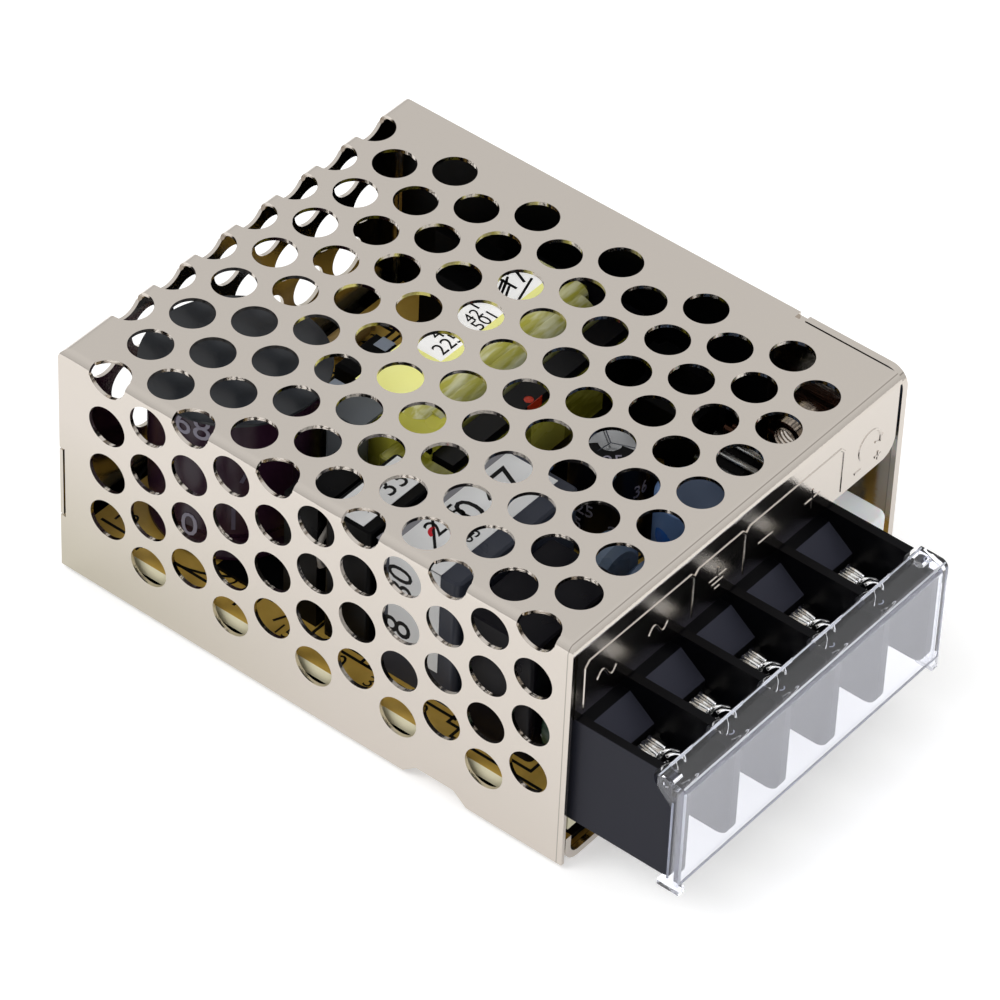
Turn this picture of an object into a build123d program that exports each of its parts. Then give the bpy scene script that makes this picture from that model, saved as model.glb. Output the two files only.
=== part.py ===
from build123d import *
from math import cos, pi, radians, sin, sqrt, tan
import os

# Enclosed switching power supply for a control cabinet: a bent tray carries the circuit
# board, a perforated folded cover closes it, and a five-way terminal block with a hinged
# clear lid stands out of the front. X runs from the rear panel to the terminals, Y from
# the perforated side to the plain side wall, Z up. Origin: middle of the base's underside.
# All lengths are millimetres.

# Case
case_length = 62.5
case_width = 51.0
case_height = 28.0
front = case_length / 2
back = -case_length / 2
right = case_width / 2
left = -case_width / 2

# Folded cover
cover_sheet = 0.4
cover_bend = 1.0
cover_floor_gap = 0.3
flange_drop = 9.3
flange_corner = 2.0
flange_end_gap = 0.3
flange_right_gap = 0.3
seam_gap = 0.15
top_cutback_length = 12.9
top_cutback_width = 1.0
relief_slot = 1.1
notch_start = 11.5
notch_length = 7.7
notch_height = 1.3
notch_slope = 1.6
corner_tab_low = 6.8
corner_tab_height = 8.8
corner_tab_gap = 0.25

# Perforation, a sixty degree stagger that runs on round the bends
hole_diameter = 4.5
hole_pitch = 6.0
column_step = hole_pitch * sqrt(3) / 2
column_margin = 4.4
row_margin = 5.7
side_row_offset = 3.25
bend_allowance = 0.58
edge_web = 1.2
rear_border = 5.0
rear_plain_height = 9.0

# Tray
tray_sheet = 0.8
tray_bend = 2.0
tray_lip_height = 3.4
tray_clearance = 0.1
wall_corner = 2.0
rear_tab_height = 4.9
rear_tab_start = -3.0
rear_tab_width = 22.0
cover_screw_height = 2.75
cover_screw_inset = 4.0
cover_screw_radius = 1.2
cover_screw_head = 2.0
cover_screw_head_height = 0.9
cover_screw_length = 3.0

# Tapped mounting holes with drawn collars
mount_hole_radius = 1.25
mount_hole_spacing = 39.0
mount_collar_radius = 2.1
mount_collar_height = 2.6
side_mount_height = 14.0

# Circuit board and what carries it
board_thickness = 1.6
board_height = 4.2
board_back_gap = 1.45
board_left_gap = 0.6
board_right_gap = 0.7
board_front_gap = 0.25
board_top = board_height + board_thickness
standoff_radius = 1.9
board_screw_radius = 1.15
board_screw_head = 2.1
board_screw_head_height = 1.3
hole_clearance = 0.15
insulation_thickness = 0.3
insulation_margin = 1.3
insulation_top = 26.0
insulation_wall_end = 16.0

# Terminal block
pole_count = 5
pole_pitch = 7.62
divider = 1.0
block_left_gap = 1.0
block_back = 28.5
block_top = 18.5
block_front = 43.3
block_core_top = 17.0
block_slope_start = 31.6
block_core_front = 34.6
block_core_edge = 14.7
divider_corner = 1.5
screw_axis_height = 11.2
plate_thickness = 0.8
plate_top = 13.9
plate_bottom = 7.0
plate_gap = 0.1
plate_tail = 0.8
tail_x = 29.9
clamp_size = 5.8
clamp_thickness = 0.9
clamp_gap = 0.1
screw_radius = 1.45
screw_thread_gap = 0.05
screw_length = 6.4
screw_head_radius = 2.7
screw_head_height = 1.7
screw_pitch = 0.5
screw_slot_width = 0.7
screw_slot_depth = 0.8

# Clear lid
hinge_x = 41.9
hinge_z = 17.45
lobe_radius = 0.7
hinge_notch = 1.55
web_drop = 0.95
pin_radius = 0.4
pin_gap = 0.07
pin_length = 0.75
lid_back = 41.15
lid_front = 44.4
lid_wall = 0.8
lid_top = 18.6
lid_bar = 1.1
lid_bottom = 6.2
lid_round = 0.9
lid_side_gap = 0.12
lid_cheek = 0.45
cheek_depth = 1.5
cheek_rear_height = 1.5
cheek_slope = 1.6
foot_height = 0.7
foot_gap = 0.2
foot_back = 41.9
foot_width = 0.9
knuckle_gap = 0.15
barrier_gap = 0.2

# Output voltage adjuster
adjuster_y = right - 7.2
adjuster_width = 6.0
adjuster_back = 27.2
adjuster_front = 33.4
adjuster_top = 14.0
adjuster_round = 1.2
rotor_height = 10.3
rotor_radius = 2.0
rotor_thickness = 1.5
rotor_stand = 0.7
rotor_gap = 0.08
rotor_slot = 0.6
rotor_floor_gap = 0.1


def block(x0, x1, y0, y1, z0, z1):
    """Box between two corners."""
    size = Box(x1 - x0, y1 - y0, z1 - z0)
    return Pos((x0 + x1) / 2, (y0 + y1) / 2, (z0 + z1) / 2) * size


def post(x, y, z0, z1, radius):
    """Upright round bar."""
    return Pos(x, y, (z0 + z1) / 2) * Cylinder(radius, z1 - z0)


def bar_x(x0, x1, y, z, radius):
    """Round bar along X."""
    return Pos((x0 + x1) / 2, y, z) * Rot(0, 90, 0) * Cylinder(radius, x1 - x0)


def bar_y(x, y0, y1, z, radius):
    """Round bar along Y."""
    return Pos(x, (y0 + y1) / 2, z) * Rot(90, 0, 0) * Cylinder(radius, y1 - y0)


def slab_xz(points, y0, y1):
    """Outline in the XZ plane, thick from y0 to y1."""
    outline = make_face(Polyline([(x, z) for x, z in points], close=True))
    return extrude(Pos(0, y1, 0) * Rot(90, 0, 0) * outline, y1 - y0)


def rounded(solid, axis, radius):
    """Round every edge that runs along one axis."""
    return fillet(solid.edges().filter_by(axis), radius)


def edges_at(solid, axis, **places):
    """Edges along an axis whose middle lies at the given coordinates."""
    chosen = []
    for edge in solid.edges().filter_by(axis):
        middle = edge.center()
        at = {"x": middle.X, "y": middle.Y, "z": middle.Z}
        if all(abs(at[name] - value) < 0.01 for name, value in places.items()):
            chosen.append(edge)
    return chosen


# Perforation centres
column_count = int((case_length - column_margin) // column_step) + 1
row_count = int((case_width - row_margin - edge_web) // hole_pitch) + 1
hole_radius = hole_diameter / 2


def column_x(column):
    return front - column_margin - (column_count - 1 - column) * column_step


def staggered(column):
    """The columns that are half a pitch off, counted from the rear bend."""
    return column % 2 == 1


def top_rows(column):
    first = right - row_margin - (hole_pitch / 2 if staggered(column) else 0)
    rows = [first - n * hole_pitch for n in range(row_count)]
    return [y for y in rows if y - hole_radius > left + cover_bend]


def side_rows(column):
    first = case_height - side_row_offset - (hole_pitch / 2 if staggered(column) else 0)
    lowest = cover_floor_gap + notch_height + edge_web
    rows = [first - n * hole_pitch for n in range(row_count)]
    return [z for z in rows if z - hole_radius > lowest]


def perforation():
    """Cutters for the top, the perforated side, the rear panel and their bends."""
    tall = 2 * cover_sheet
    cutters = []
    for column in range(1, column_count):
        x = column_x(column)
        for y in top_rows(column):
            cutters.append(post(x, y, case_height - tall, case_height + tall, hole_radius))
        for z in side_rows(column):
            cutters.append(bar_y(x, left - tall, left + tall, z, hole_radius))
        if staggered(column):
            bend_y = min(top_rows(column)) - hole_pitch
            bend_z = max(side_rows(column)) + hole_pitch
            low = case_height - cover_bend
            cutters.append(post(x, bend_y, low, case_height + tall, hole_radius))
            cutters.append(bar_y(x, left - tall, left + cover_bend, bend_z, hole_radius))
    rear_bend = column_x(0)
    rear_z = case_height - bend_allowance + (rear_bend - back)
    for y in top_rows(0)[:-1]:
        low = case_height - cover_bend
        cutters.append(post(rear_bend, y, low, case_height + tall, hole_radius))
        cutters.append(bar_x(back - tall, back + cover_bend, y, rear_z, hole_radius))
    row = 1
    while rear_z - row * column_step - hole_radius > rear_plain_height:
        z = rear_z - row * column_step
        border = left + rear_border + (row - 1) * hole_pitch / 2
        for y in [y for y in top_rows(row) if y > border]:
            cutters.append(bar_x(back - tall, back + tall, y, z, hole_radius))
        row += 1
    return cutters


def perforated_cover():
    inner_left = left + cover_sheet
    inner_back = back + cover_sheet
    inner_front = front - cover_sheet
    inner_top = case_height - cover_sheet
    flange_bottom = case_height - flange_drop
    skin = block(back, front, left, right, cover_floor_gap, case_height)
    bends = edges_at(skin, Axis.X, y=left, z=case_height)
    bends += edges_at(skin, Axis.Y, x=back, z=case_height)
    bends += edges_at(skin, Axis.Y, x=front, z=case_height)
    skin = fillet(bends, cover_bend)
    room = block(inner_back, inner_front, inner_left, right + 1, -1, inner_top)
    bends = edges_at(room, Axis.X, y=inner_left, z=inner_top)
    bends += edges_at(room, Axis.Y, x=inner_back, z=inner_top)
    bends += edges_at(room, Axis.Y, x=inner_front, z=inner_top)
    skin -= fillet(bends, cover_bend - cover_sheet)
    # Front flange: open below it, free at both ends, rounded at its lower right corner
    skin -= block(inner_front, front + 1, inner_left, right + 1, -1, flange_bottom)
    top_right = right - top_cutback_width
    flange_right = top_right - flange_right_gap
    corner = (flange_right - flange_corner, flange_bottom + flange_corner)
    trim = block(inner_front - 0.1, front + 1, corner[0], right + 1, flange_bottom, corner[1])
    skin -= trim - bar_x(inner_front - 1, front + 2, *corner, flange_corner)
    skin -= block(front - top_cutback_length, front + 1, top_right, right + 1, -1, case_height + 1)
    skin -= block(inner_front, front + 1, flange_right, right, -1, case_height - cover_bend)
    # Open seams at the upright corners
    seam_top = case_height - cover_bend
    skin -= block(back, inner_back, inner_left, inner_left + seam_gap, 0, seam_top)
    skin -= block(inner_front, front, inner_left, inner_left + flange_end_gap, 0, seam_top)
    # The rear panel's tab locks into the side's rear edge
    tab_top = corner_tab_low + corner_tab_height
    slot_front = inner_back + corner_tab_gap
    skin -= block(back, slot_front, left, inner_left, corner_tab_low, tab_top)
    skin += block(back, inner_back, left, inner_left + seam_gap, corner_tab_low + corner_tab_gap,
                  tab_top - corner_tab_gap)
    # Shallow notch in the side's lower edge
    x0 = front - notch_start - notch_length
    x1 = front - notch_start
    top = cover_floor_gap + notch_height
    skin -= slab_xz([(x0, -1), (x0, cover_floor_gap), (x0 + notch_slope, top),
                     (x1 - notch_slope, top), (x1, cover_floor_gap), (x1, -1)],
                    left - 1, inner_left)
    # Clearance holes for the screws in the rear panel
    for y in cover_screw_places():
        skin -= bar_x(back - 1, inner_back, y, cover_screw_height, cover_screw_radius + hole_clearance)
    return skin - perforation()


def cover_screw_places():
    first = rear_tab_start + cover_screw_inset
    return [first, rear_tab_start + rear_tab_width - cover_screw_inset]


tray_back = back + cover_sheet + tray_clearance
tray_left = left + cover_sheet + tray_clearance
tray_top = case_height - cover_sheet
raised_start = front - top_cutback_length + relief_slot


def mount_places():
    return [-mount_hole_spacing / 2, mount_hole_spacing / 2]


def tray():
    tray_inner = tray_sheet
    body = block(tray_back, front, tray_left, right, 0, case_height)
    body = fillet(edges_at(body, Axis.X, z=0), tray_bend)
    room = block(tray_back - 1, front + 1, tray_left + tray_sheet, right - tray_sheet,
                 tray_inner, case_height + 1)
    body -= fillet(edges_at(room, Axis.X, z=tray_inner), tray_bend - tray_sheet)
    body -= block(tray_back - 1, front + 1, tray_left - 1, 0, tray_lip_height, case_height + 1)
    # The wall's top goes under the cover, and stands flush beside it near the front
    body -= block(tray_back - 1, raised_start, 0, right + 1, tray_top, case_height + 1)
    body = fillet(edges_at(body, Axis.Y, x=front, z=case_height), wall_corner)
    body = fillet(edges_at(body, Axis.Y, x=tray_back, z=tray_top), cover_bend)
    # Low tab that takes the cover's screws
    tab = block(tray_back, tray_back + tray_sheet, rear_tab_start,
                rear_tab_start + rear_tab_width, 0, rear_tab_height)
    body += tab
    for y in cover_screw_places():
        body -= bar_x(tray_back - 1, tray_back + 2, y, cover_screw_height, cover_screw_radius)
    # Drawn and tapped mounting holes, two in the base and two in the side wall
    for x in mount_places():
        body += post(x, 0, 0, mount_collar_height, mount_collar_radius)
        body -= post(x, 0, -1, case_height, mount_hole_radius)
        body += bar_y(x, right - mount_collar_height, right, side_mount_height,
                      mount_collar_radius)
        body -= bar_y(x, 0, right + 1, side_mount_height, mount_hole_radius)
    for x, y in standoff_places():
        body -= post(x, y, -1, tray_sheet + 1, standoff_radius - tray_sheet / 2)
    return body


def cover_screws():
    screws = []
    for y in cover_screw_places():
        shank = bar_x(back, back + cover_screw_length, y, cover_screw_height, cover_screw_radius)
        head = bar_x(back - cover_screw_head_height, back, y, cover_screw_height, cover_screw_head)
        rim = head.edges().filter_by(GeomType.CIRCLE).sort_by(Axis.X)[:1]
        head = chamfer(rim, cover_screw_head_height / 2)
        screw = shank + head
        slot = block(back - 2, back - cover_screw_head_height / 2, y - 1.5, y + 1.5,
                     cover_screw_height - 0.3, cover_screw_height + 0.3)
        cross = block(back - 2, back - cover_screw_head_height / 2, y - 0.3, y + 0.3,
                      cover_screw_height - 1.5, cover_screw_height + 1.5)
        screws.append(screw - slot - cross)
    return screws


# Board outline, and the free spots where it stands on posts
board_back = back + cover_sheet + board_back_gap
board_front = front - board_front_gap
board_left = left + cover_sheet + board_left_gap
board_right = right - tray_sheet - board_right_gap


def standoff_places():
    return [(board_back + 3.4, board_right - 3.0), (board_back + 3.4, board_right - 18.8),
            (board_back + 54.9, board_right - 12.0), (board_front - 5.0, board_left + 3.5)]


def screwed_places():
    return standoff_places()[1:3]


def insulation_sheet():
    """Black film on the floor, folded up along the inside of the side wall."""
    low = tray_sheet
    wall = right - tray_sheet
    fold = tray_bend
    film_back = tray_back + tray_sheet + insulation_margin
    outer = block(film_back, front - insulation_margin, tray_left + tray_sheet + insulation_margin,
                  wall, low, insulation_top)
    inner = block(film_back - 1, front, left, wall - insulation_thickness,
                  low + insulation_thickness, insulation_top + 1)
    sheet = fillet(edges_at(outer, Axis.X, y=wall, z=low), fold)
    sheet -= fillet(edges_at(inner, Axis.X, y=wall - insulation_thickness,
                             z=low + insulation_thickness), fold - insulation_thickness)
    sheet -= block(insulation_wall_end, front, wall - fold, right, low + fold, insulation_top)
    for x in mount_places():
        sheet -= post(x, 0, 0, board_height, mount_collar_radius + 3 * hole_clearance)
        sheet -= bar_y(x, wall - fold, right, side_mount_height,
                       mount_collar_radius + 3 * hole_clearance)
    for x, y in standoff_places():
        sheet -= post(x, y, 0, board_height, standoff_radius + 3 * hole_clearance)
    return sheet


def circuit_board():
    board = block(board_back, board_front, board_left, board_right, board_height, board_top)
    for x, y in screwed_places():
        board -= post(x, y, board_height, board_top, board_screw_radius + hole_clearance)
    for y in pole_places():
        half = plate_tail / 2 + hole_clearance
        board -= block(tail_x - half, tail_x + half, y - half, y + half, board_height, board_top)
    return board


def board_standoffs():
    posts = []
    for x, y in standoff_places():
        stud = post(x, y, tray_sheet, board_height, standoff_radius)
        stud += post(x, y, 0, tray_sheet, standoff_radius - tray_sheet / 2)
        if (x, y) in screwed_places():
            stud -= post(x, y, 0, board_height, board_screw_radius)
        posts.append(stud)
    return posts


def board_screws():
    screws = []
    for x, y in screwed_places():
        shank = post(x, y, tray_sheet / 2, board_top, board_screw_radius)
        head = post(x, y, board_top, board_top + board_screw_head_height, board_screw_head)
        head = chamfer(head.edges().filter_by(GeomType.CIRCLE).sort_by(Axis.Z)[-1:],
                       board_screw_head_height / 2)
        screw = shank + head
        for turn in (0, 90):
            slot = Rot(0, 0, turn) * Box(2.6, 0.6, board_screw_head_height)
            screw -= Pos(x, y, board_top + board_screw_head_height) * slot
        screws.append(screw)
    return screws


# Terminal block
block_left = left + block_left_gap
block_width = pole_count * pole_pitch + divider
block_right = block_left + block_width
plate_front = block_core_front + plate_gap + plate_thickness
clamp_back = plate_front + clamp_gap
clamp_front = clamp_back + clamp_thickness
head_back = clamp_front + clamp_gap
head_front = head_back + screw_head_height


def pole_places():
    first = block_left + divider / 2 + pole_pitch / 2
    return [first + n * pole_pitch for n in range(pole_count)]


def divider_places():
    first = block_left
    return [first + n * pole_pitch for n in range(pole_count + 1)]


def divider_wall(y, hinged):
    """One barrier, its lower front corner round and its upper one cut free for the lid."""
    wall = block(block_back, block_front, y, y + divider, board_top, block_top)
    wall = fillet(edges_at(wall, Axis.Y, x=block_front, z=board_top), divider_corner)
    wall -= bar_y(hinge_x, y, y + divider, hinge_z, hinge_notch)
    wall -= block(hinge_x, block_front, y, y + divider, lid_top - lid_bar - barrier_gap, block_top)
    web_top = hinge_z - web_drop
    wall += block(hinge_x - web_drop, block_front, y, y + divider, web_top - hinge_notch, web_top)
    if hinged:
        wall += block(hinge_x - lobe_radius, hinge_x + lobe_radius, y, y + divider,
                      web_top, hinge_z)
        wall += bar_y(hinge_x, y, y + divider, hinge_z, lobe_radius)
        wall -= bar_y(hinge_x, y, y + divider, hinge_z, pin_radius + pin_gap)
    return wall


def terminal_block():
    outline = [(block_back, board_top), (block_core_front, board_top),
               (block_core_front, block_core_edge), (block_slope_start, block_core_top),
               (block_back, block_core_top)]
    body = slab_xz(outline, block_left, block_right)
    for y in divider_places():
        body += divider_wall(y, y in (divider_places()[0], divider_places()[-1]))
    for y in pole_places():
        # Screw hole, and the slot that the contact's tail drops through
        body -= bar_x(block_core_front - 0.1 - (screw_length - clamp_thickness), block_core_front,
                      y, screw_axis_height, screw_radius + 3 * hole_clearance)
        half = plate_tail / 2 + plate_gap
        body -= block(tail_x - half, block_core_front, y - half, y + half,
                      board_top, plate_bottom + plate_tail + plate_gap)
    return body


def contact_plate(y):
    """Bright contact plate with the tail that goes back and down into the board."""
    half = (pole_pitch - divider) / 2 - plate_gap
    back_face = block_core_front + plate_gap
    plate = block(back_face, plate_front, y - half, y + half, plate_bottom, plate_top)
    tail = plate_tail / 2
    plate += block(tail_x - tail, back_face, y - tail, y + tail, plate_bottom,
                   plate_bottom + plate_tail)
    plate += block(tail_x - tail, tail_x + tail, y - tail, y + tail,
                   board_height - board_thickness, plate_bottom + plate_tail)
    return plate - bar_x(back_face - 1, plate_front + 1, y, screw_axis_height,
                         screw_radius + screw_thread_gap)


def wire_clamp(y):
    """Square saddle under the screw head, free on the shank."""
    half = clamp_size / 2
    plate = block(clamp_back, clamp_front, y - half, y + half,
                  screw_axis_height - half, screw_axis_height + half)
    plate = fillet(plate.edges().filter_by(Axis.X), 0.5)
    return plate - bar_x(clamp_back - 1, clamp_front + 1, y, screw_axis_height,
                         screw_radius + 2 * hole_clearance)


def terminal_screw(y):
    shank_back = head_back - screw_length
    screw = bar_x(shank_back, head_back, y, screw_axis_height, screw_radius)
    screw = chamfer(screw.edges().filter_by(GeomType.CIRCLE).sort_by(Axis.X)[:1], 0.4)
    head = bar_x(head_back, head_front, y, screw_axis_height, screw_head_radius)
    head = chamfer(head.edges().filter_by(GeomType.CIRCLE).sort_by(Axis.X)[-1:],
                   screw_head_height / 4)
    screw += head
    half = screw_slot_width / 2
    for turn in (0, 90):
        slot = Rot(turn, 0, 0) * Box(2 * screw_slot_depth, 2 * half, 1.5 * screw_head_radius)
        screw -= Pos(head_front, y, screw_axis_height) * slot
    return screw


def terminal_lid():
    """Clear cover: a bar on top, a front panel, narrow cheeks and small feet."""
    y0 = block_left - lid_side_gap - lid_cheek
    y1 = block_right + lid_side_gap + lid_cheek
    lid = block(lid_back, lid_front, y0, y1, lid_bottom, lid_top)
    lid = fillet(edges_at(lid, Axis.Y, x=lid_front, z=lid_top), lid_round)
    hollow_left = block_left - lid_side_gap
    hollow_right = block_right + lid_side_gap
    inner_x = lid_front - lid_wall
    bar_under = lid_top - lid_bar
    lid -= block(lid_back - 1, inner_x, hollow_left, hollow_right, lid_bottom - 1, bar_under)
    cheek_back = lid_front - cheek_depth
    rear_low = lid_top - cheek_rear_height
    for a, b in ((y0, hollow_left), (hollow_right, y1)):
        # The cheek's rear edge slopes down from the bar and holds the hinge pin
        lid -= slab_xz([(lid_back - 1, lid_bottom - 1), (cheek_back, lid_bottom - 1),
                        (cheek_back, rear_low - cheek_slope), (lid_back, rear_low),
                        (lid_back - 1, rear_low)], a, b)
    # Reliefs over the two hinge lobes
    relief = lobe_radius + knuckle_gap
    for a, b in ((hollow_left, block_left + divider + knuckle_gap),
                 (block_right - divider - knuckle_gap, hollow_right)):
        lid -= block(lid_back - 1, hinge_x, a, b, hinge_z - 1, hinge_z + relief)
        lid -= bar_y(hinge_x, a, b, hinge_z, relief)
    for a, b in ((hollow_left, hollow_left + pin_length), (hollow_right - pin_length, hollow_right)):
        lid += bar_y(hinge_x, a, b, hinge_z, pin_radius)
    foot_top = board_top - foot_gap
    for a, b in ((y0, y0 + foot_width), (y1 - foot_width, y1)):
        lid += block(foot_back, lid_front, a, b, foot_top - foot_height, foot_top)
    for a, b in ((y0, hollow_left), (hollow_right, y1)):
        lid += block(cheek_back, lid_front, a, b, foot_top - foot_height, lid_bottom)
    return lid


# Parts on the board: each stands on the board's top face
bulk_x = board_back + 9.2
bulk_y = board_left + 11.9
bulk_radius = 8.45
bulk_height = 18.5
bulk_disc_radius = 9.4
bulk_disc_thickness = 0.3

transformer_x = board_back + 23.9
transformer_near = board_left + 17.9
transformer_far = board_right - 1.2
winding_width = 8.8
winding_height = 14.6
winding_low = 1.2
winding_round = 2.4
wrap_left = 6.4
wrap_right = 2.2
wrap_end = 1.8
wrap_top = 16.2
wrap_round = 1.2
wrap_corner = 0.8
flange_thickness = 0.5
flange_width = 8.8
flange_base = 0.9
core_gap = 0.2
core_leg = 2.7
core_middle = 3.0
core_height = 9.4
core_low = 4.9
core_back_thickness = 2.6
tape_thickness = 0.1
tape_margin = 1.2
former_wall = 0.8
label_thickness = 0.15
label_inset = 0.8
label_width = 4.8
label_margin = 3.0

film_x = board_back + 38.5
film_y = board_left + 12.8
film_size = (10.2, 18.0, 16.2)

choke_x = board_back + 30.1
choke_y = board_left + 9.0
choke_size = (5.6, 10.4, 16.2)

suppression_x = board_back + 28.6
suppression_y = board_left + 15.9
suppression_size = (7.4, 2.9, 14.2)

boxed_x = board_back + 49.0
boxed_y = board_left + 9.6
boxed_size = (8.6, 13.0, 14.6)

snubber_x = board_back + 20.5
snubber_y = board_left + 15.2
snubber_size = (3.0, 3.2, 15.4)

output_cap_radius = 4.0
output_cap_height = 11.7
output_cap_x = board_back + 38.8
output_cap_y = board_left + 32.7
second_cap_x = board_back + 49.2
second_cap_height = 11.5

disc_radius = 4.4
disc_thickness = 3.4
disc_lift = 1.2
disc_x = board_back + 45.8
disc_y = board_left + 23.2
disc_spacing = 5.4
disc_leads = 2.5

toroid_outer = 4.4
toroid_inner = 2.0
toroid_width = 5.4
toroid_lift = 0.3
toroid_x = board_back + 47.2
toroid_y = board_left + 42.5
wire_radius = 0.35

sink_y = board_right - 2.9
sink_thickness = 1.2
sink_width = 8.8
sink_height = 13.0
device_width = 8.0
device_thickness = 3.4
device_height = 7.5
device_tab_height = 3.6
device_tab_thickness = 1.1
device_hole = 1.6
device_lift = 2.2
device_lead = 0.7
device_lead_pitch = 2.3
transistor_x = board_back + 11.2
rectifier_x = board_back + 37.8


def can(x, y, radius, height):
    """Electrolytic capacitor: sleeved can with a crimp groove and a dished, rolled top."""
    low = board_top
    edge = radius * 0.06
    groove = height * 0.13
    outline = [(0, 0), (radius - edge, 0), (radius, edge), (radius, groove - 3 * edge),
               (radius - edge, groove - edge), (radius - edge, groove + edge),
               (radius, groove + 3 * edge), (radius, height - edge), (radius - edge, height),
               (radius * 0.84, height), (radius * 0.80, height - 0.35), (0, height - 0.35)]
    return revolved(outline, Pos(x, y, low))


def bulk_capacitor():
    """Large can with a flat disc of film stuck on its top, wider than the can."""
    top = board_top + bulk_height
    disc = post(bulk_x, bulk_y, top, top + bulk_disc_thickness, bulk_disc_radius)
    return can(bulk_x, bulk_y, bulk_radius, bulk_height) + disc


def revolved(outline, place):
    """Solid of revolution about Z from (radius, height) points."""
    section = make_face(Polyline([(r, 0, z) for r, z in outline], close=True))
    return place * revolve(section, Axis.Z)


def boxed_part(x, y, size, corner):
    width, depth, height = size
    body = block(x - width / 2, x + width / 2, y - depth / 2, y + depth / 2,
                 board_top, board_top + height)
    body = rounded(body, Axis.Z, corner)
    return chamfer(body.faces().sort_by(Axis.Z)[-1].edges(), corner / 3)


winding_bottom = board_top + winding_low
winding_middle = board_top + core_low + core_height / 2
core_reach = (transformer_far - transformer_near) / 2
transformer_y = (transformer_far + transformer_near) / 2
winding_length = 2 * (core_reach - flange_thickness - core_gap - core_back_thickness)
winding_back = transformer_y - winding_length / 2
winding_front = transformer_y + winding_length / 2
core_half = winding_width / 2 + core_gap + 0.1 + core_leg
bore_size = (core_middle + 2 * core_gap, core_height + 2 * core_gap)
former_size = (bore_size[0] + 2 * former_wall, bore_size[1] + 2 * former_wall)


def along_y(section, y0, y1, x, z):
    """Extrude a section along Y, its middle at (x, z)."""
    return extrude(Pos(x, y1, z) * Rot(90, 0, 0) * section, y1 - y0)


def transformer_bobbin():
    """Square tube with a flange at each end, each on a foot that meets the board."""
    former = along_y(Rectangle(*former_size), winding_back, winding_front, transformer_x,
                     winding_middle)
    half = flange_width / 2
    flange_low = winding_bottom - core_gap
    flange_top = winding_middle + core_height / 2 + core_gap
    for y in (winding_back - flange_thickness, winding_front):
        former += block(transformer_x - half, transformer_x + half, y, y + flange_thickness,
                        flange_low, flange_top)
        former += block(transformer_x - half, transformer_x + half, y - flange_base,
                        y + flange_thickness + flange_base, board_top, flange_low)
    bore = along_y(Rectangle(*bore_size), winding_back - 2, winding_front + 2, transformer_x,
                   winding_middle)
    return former - bore


def transformer_winding():
    """Wound coil between the flanges, and the taped wrap that bulges over the core."""
    middle = winding_bottom + winding_height / 2
    coil = along_y(RectangleRounded(winding_width, winding_height, winding_round),
                   winding_back, winding_front, transformer_x, middle)
    low = winding_middle + core_height / 2 + 2 * core_gap
    high = board_top + wrap_top
    wrap = block(transformer_x - wrap_left, transformer_x + wrap_right,
                 winding_back - wrap_end, winding_front + wrap_end, low, high)
    wrap = fillet(edges_at(wrap, Axis.Y, x=transformer_x + wrap_right, z=high), wrap_round)
    wrap = chamfer(edges_at(wrap, Axis.Y, x=transformer_x - wrap_left, z=high), wrap_corner / 2)
    ends = wrap.faces().sort_by(Axis.Z)[-1].edges().filter_by(Axis.X)
    wrap = chamfer(ends, wrap_corner)
    bore = along_y(Rectangle(*former_size), winding_back - 1, winding_front + 1, transformer_x,
                   winding_middle)
    return coil + wrap - bore


def core_band(thickness, margin):
    """Rectangle round the core's outside, shorter than the core by the margin."""
    reach = core_reach + thickness
    half = core_half + thickness
    low = winding_middle - core_height / 2 + margin
    high = winding_middle + core_height / 2 - margin
    return block(transformer_x - half, transformer_x + half, transformer_y - reach,
                 transformer_y + reach, low, high)


def transformer_core():
    """Two E halves met as one: outer legs, backs and the middle leg through the bobbin."""
    core = core_band(0, 0)
    low = winding_middle - core_height / 2
    high = winding_middle + core_height / 2
    window_half = core_half - core_leg
    window_reach = core_reach - core_back_thickness
    core -= block(transformer_x - window_half, transformer_x + window_half,
                  transformer_y - window_reach, transformer_y + window_reach, low, high)
    half = core_middle / 2
    return core + block(transformer_x - half, transformer_x + half,
                        transformer_y - window_reach, transformer_y + window_reach, low, high)


def core_tape():
    return core_band(tape_thickness, tape_margin) - core_band(0, 0)


def transformer_label():
    top = board_top + wrap_top
    x = transformer_x - wrap_left + label_inset
    return block(x, x + label_width, winding_back - wrap_end + label_margin,
                 winding_front + wrap_end - label_inset - wrap_corner, top, top + label_thickness)


def lying_disc(x, y, middle, radius, thickness):
    """Lacquered disc on edge, its rim falling away in two steps on each side."""
    half = thickness / 2
    outline = [(0, -half), (radius * 0.72, -half), (radius * 0.92, -half * 0.62), (radius, 0),
               (radius * 0.92, half * 0.62), (radius * 0.72, half), (0, half)]
    return revolved(outline, Pos(x, y, middle) * Rot(0, 90, 0))


def disc_capacitor(x, y):
    """Lacquered ceramic disc that stands on two wires."""
    middle = board_top + disc_lift + disc_radius
    disc = lying_disc(x, y, middle, disc_radius, disc_thickness)
    for dy in (-disc_leads, disc_leads):
        disc += post(x, y + dy, board_top, middle, wire_radius)
    return disc


def output_choke():
    """Wound ring on edge."""
    middle = board_top + toroid_outer + toroid_lift
    ring = bar_x(toroid_x - toroid_width / 2, toroid_x + toroid_width / 2, toroid_y, middle,
                 toroid_outer)
    ring -= bar_x(toroid_x - toroid_width, toroid_x + toroid_width, toroid_y, middle, toroid_inner)
    ring = chamfer(ring.edges().filter_by(GeomType.CIRCLE), 0.8)
    wire_y = (toroid_outer + toroid_inner) / 2 - 1.0
    for dy in (-wire_y, wire_y):
        ring += post(toroid_x, toroid_y + dy, board_top, middle - toroid_inner, wire_radius)
    return ring


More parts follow.
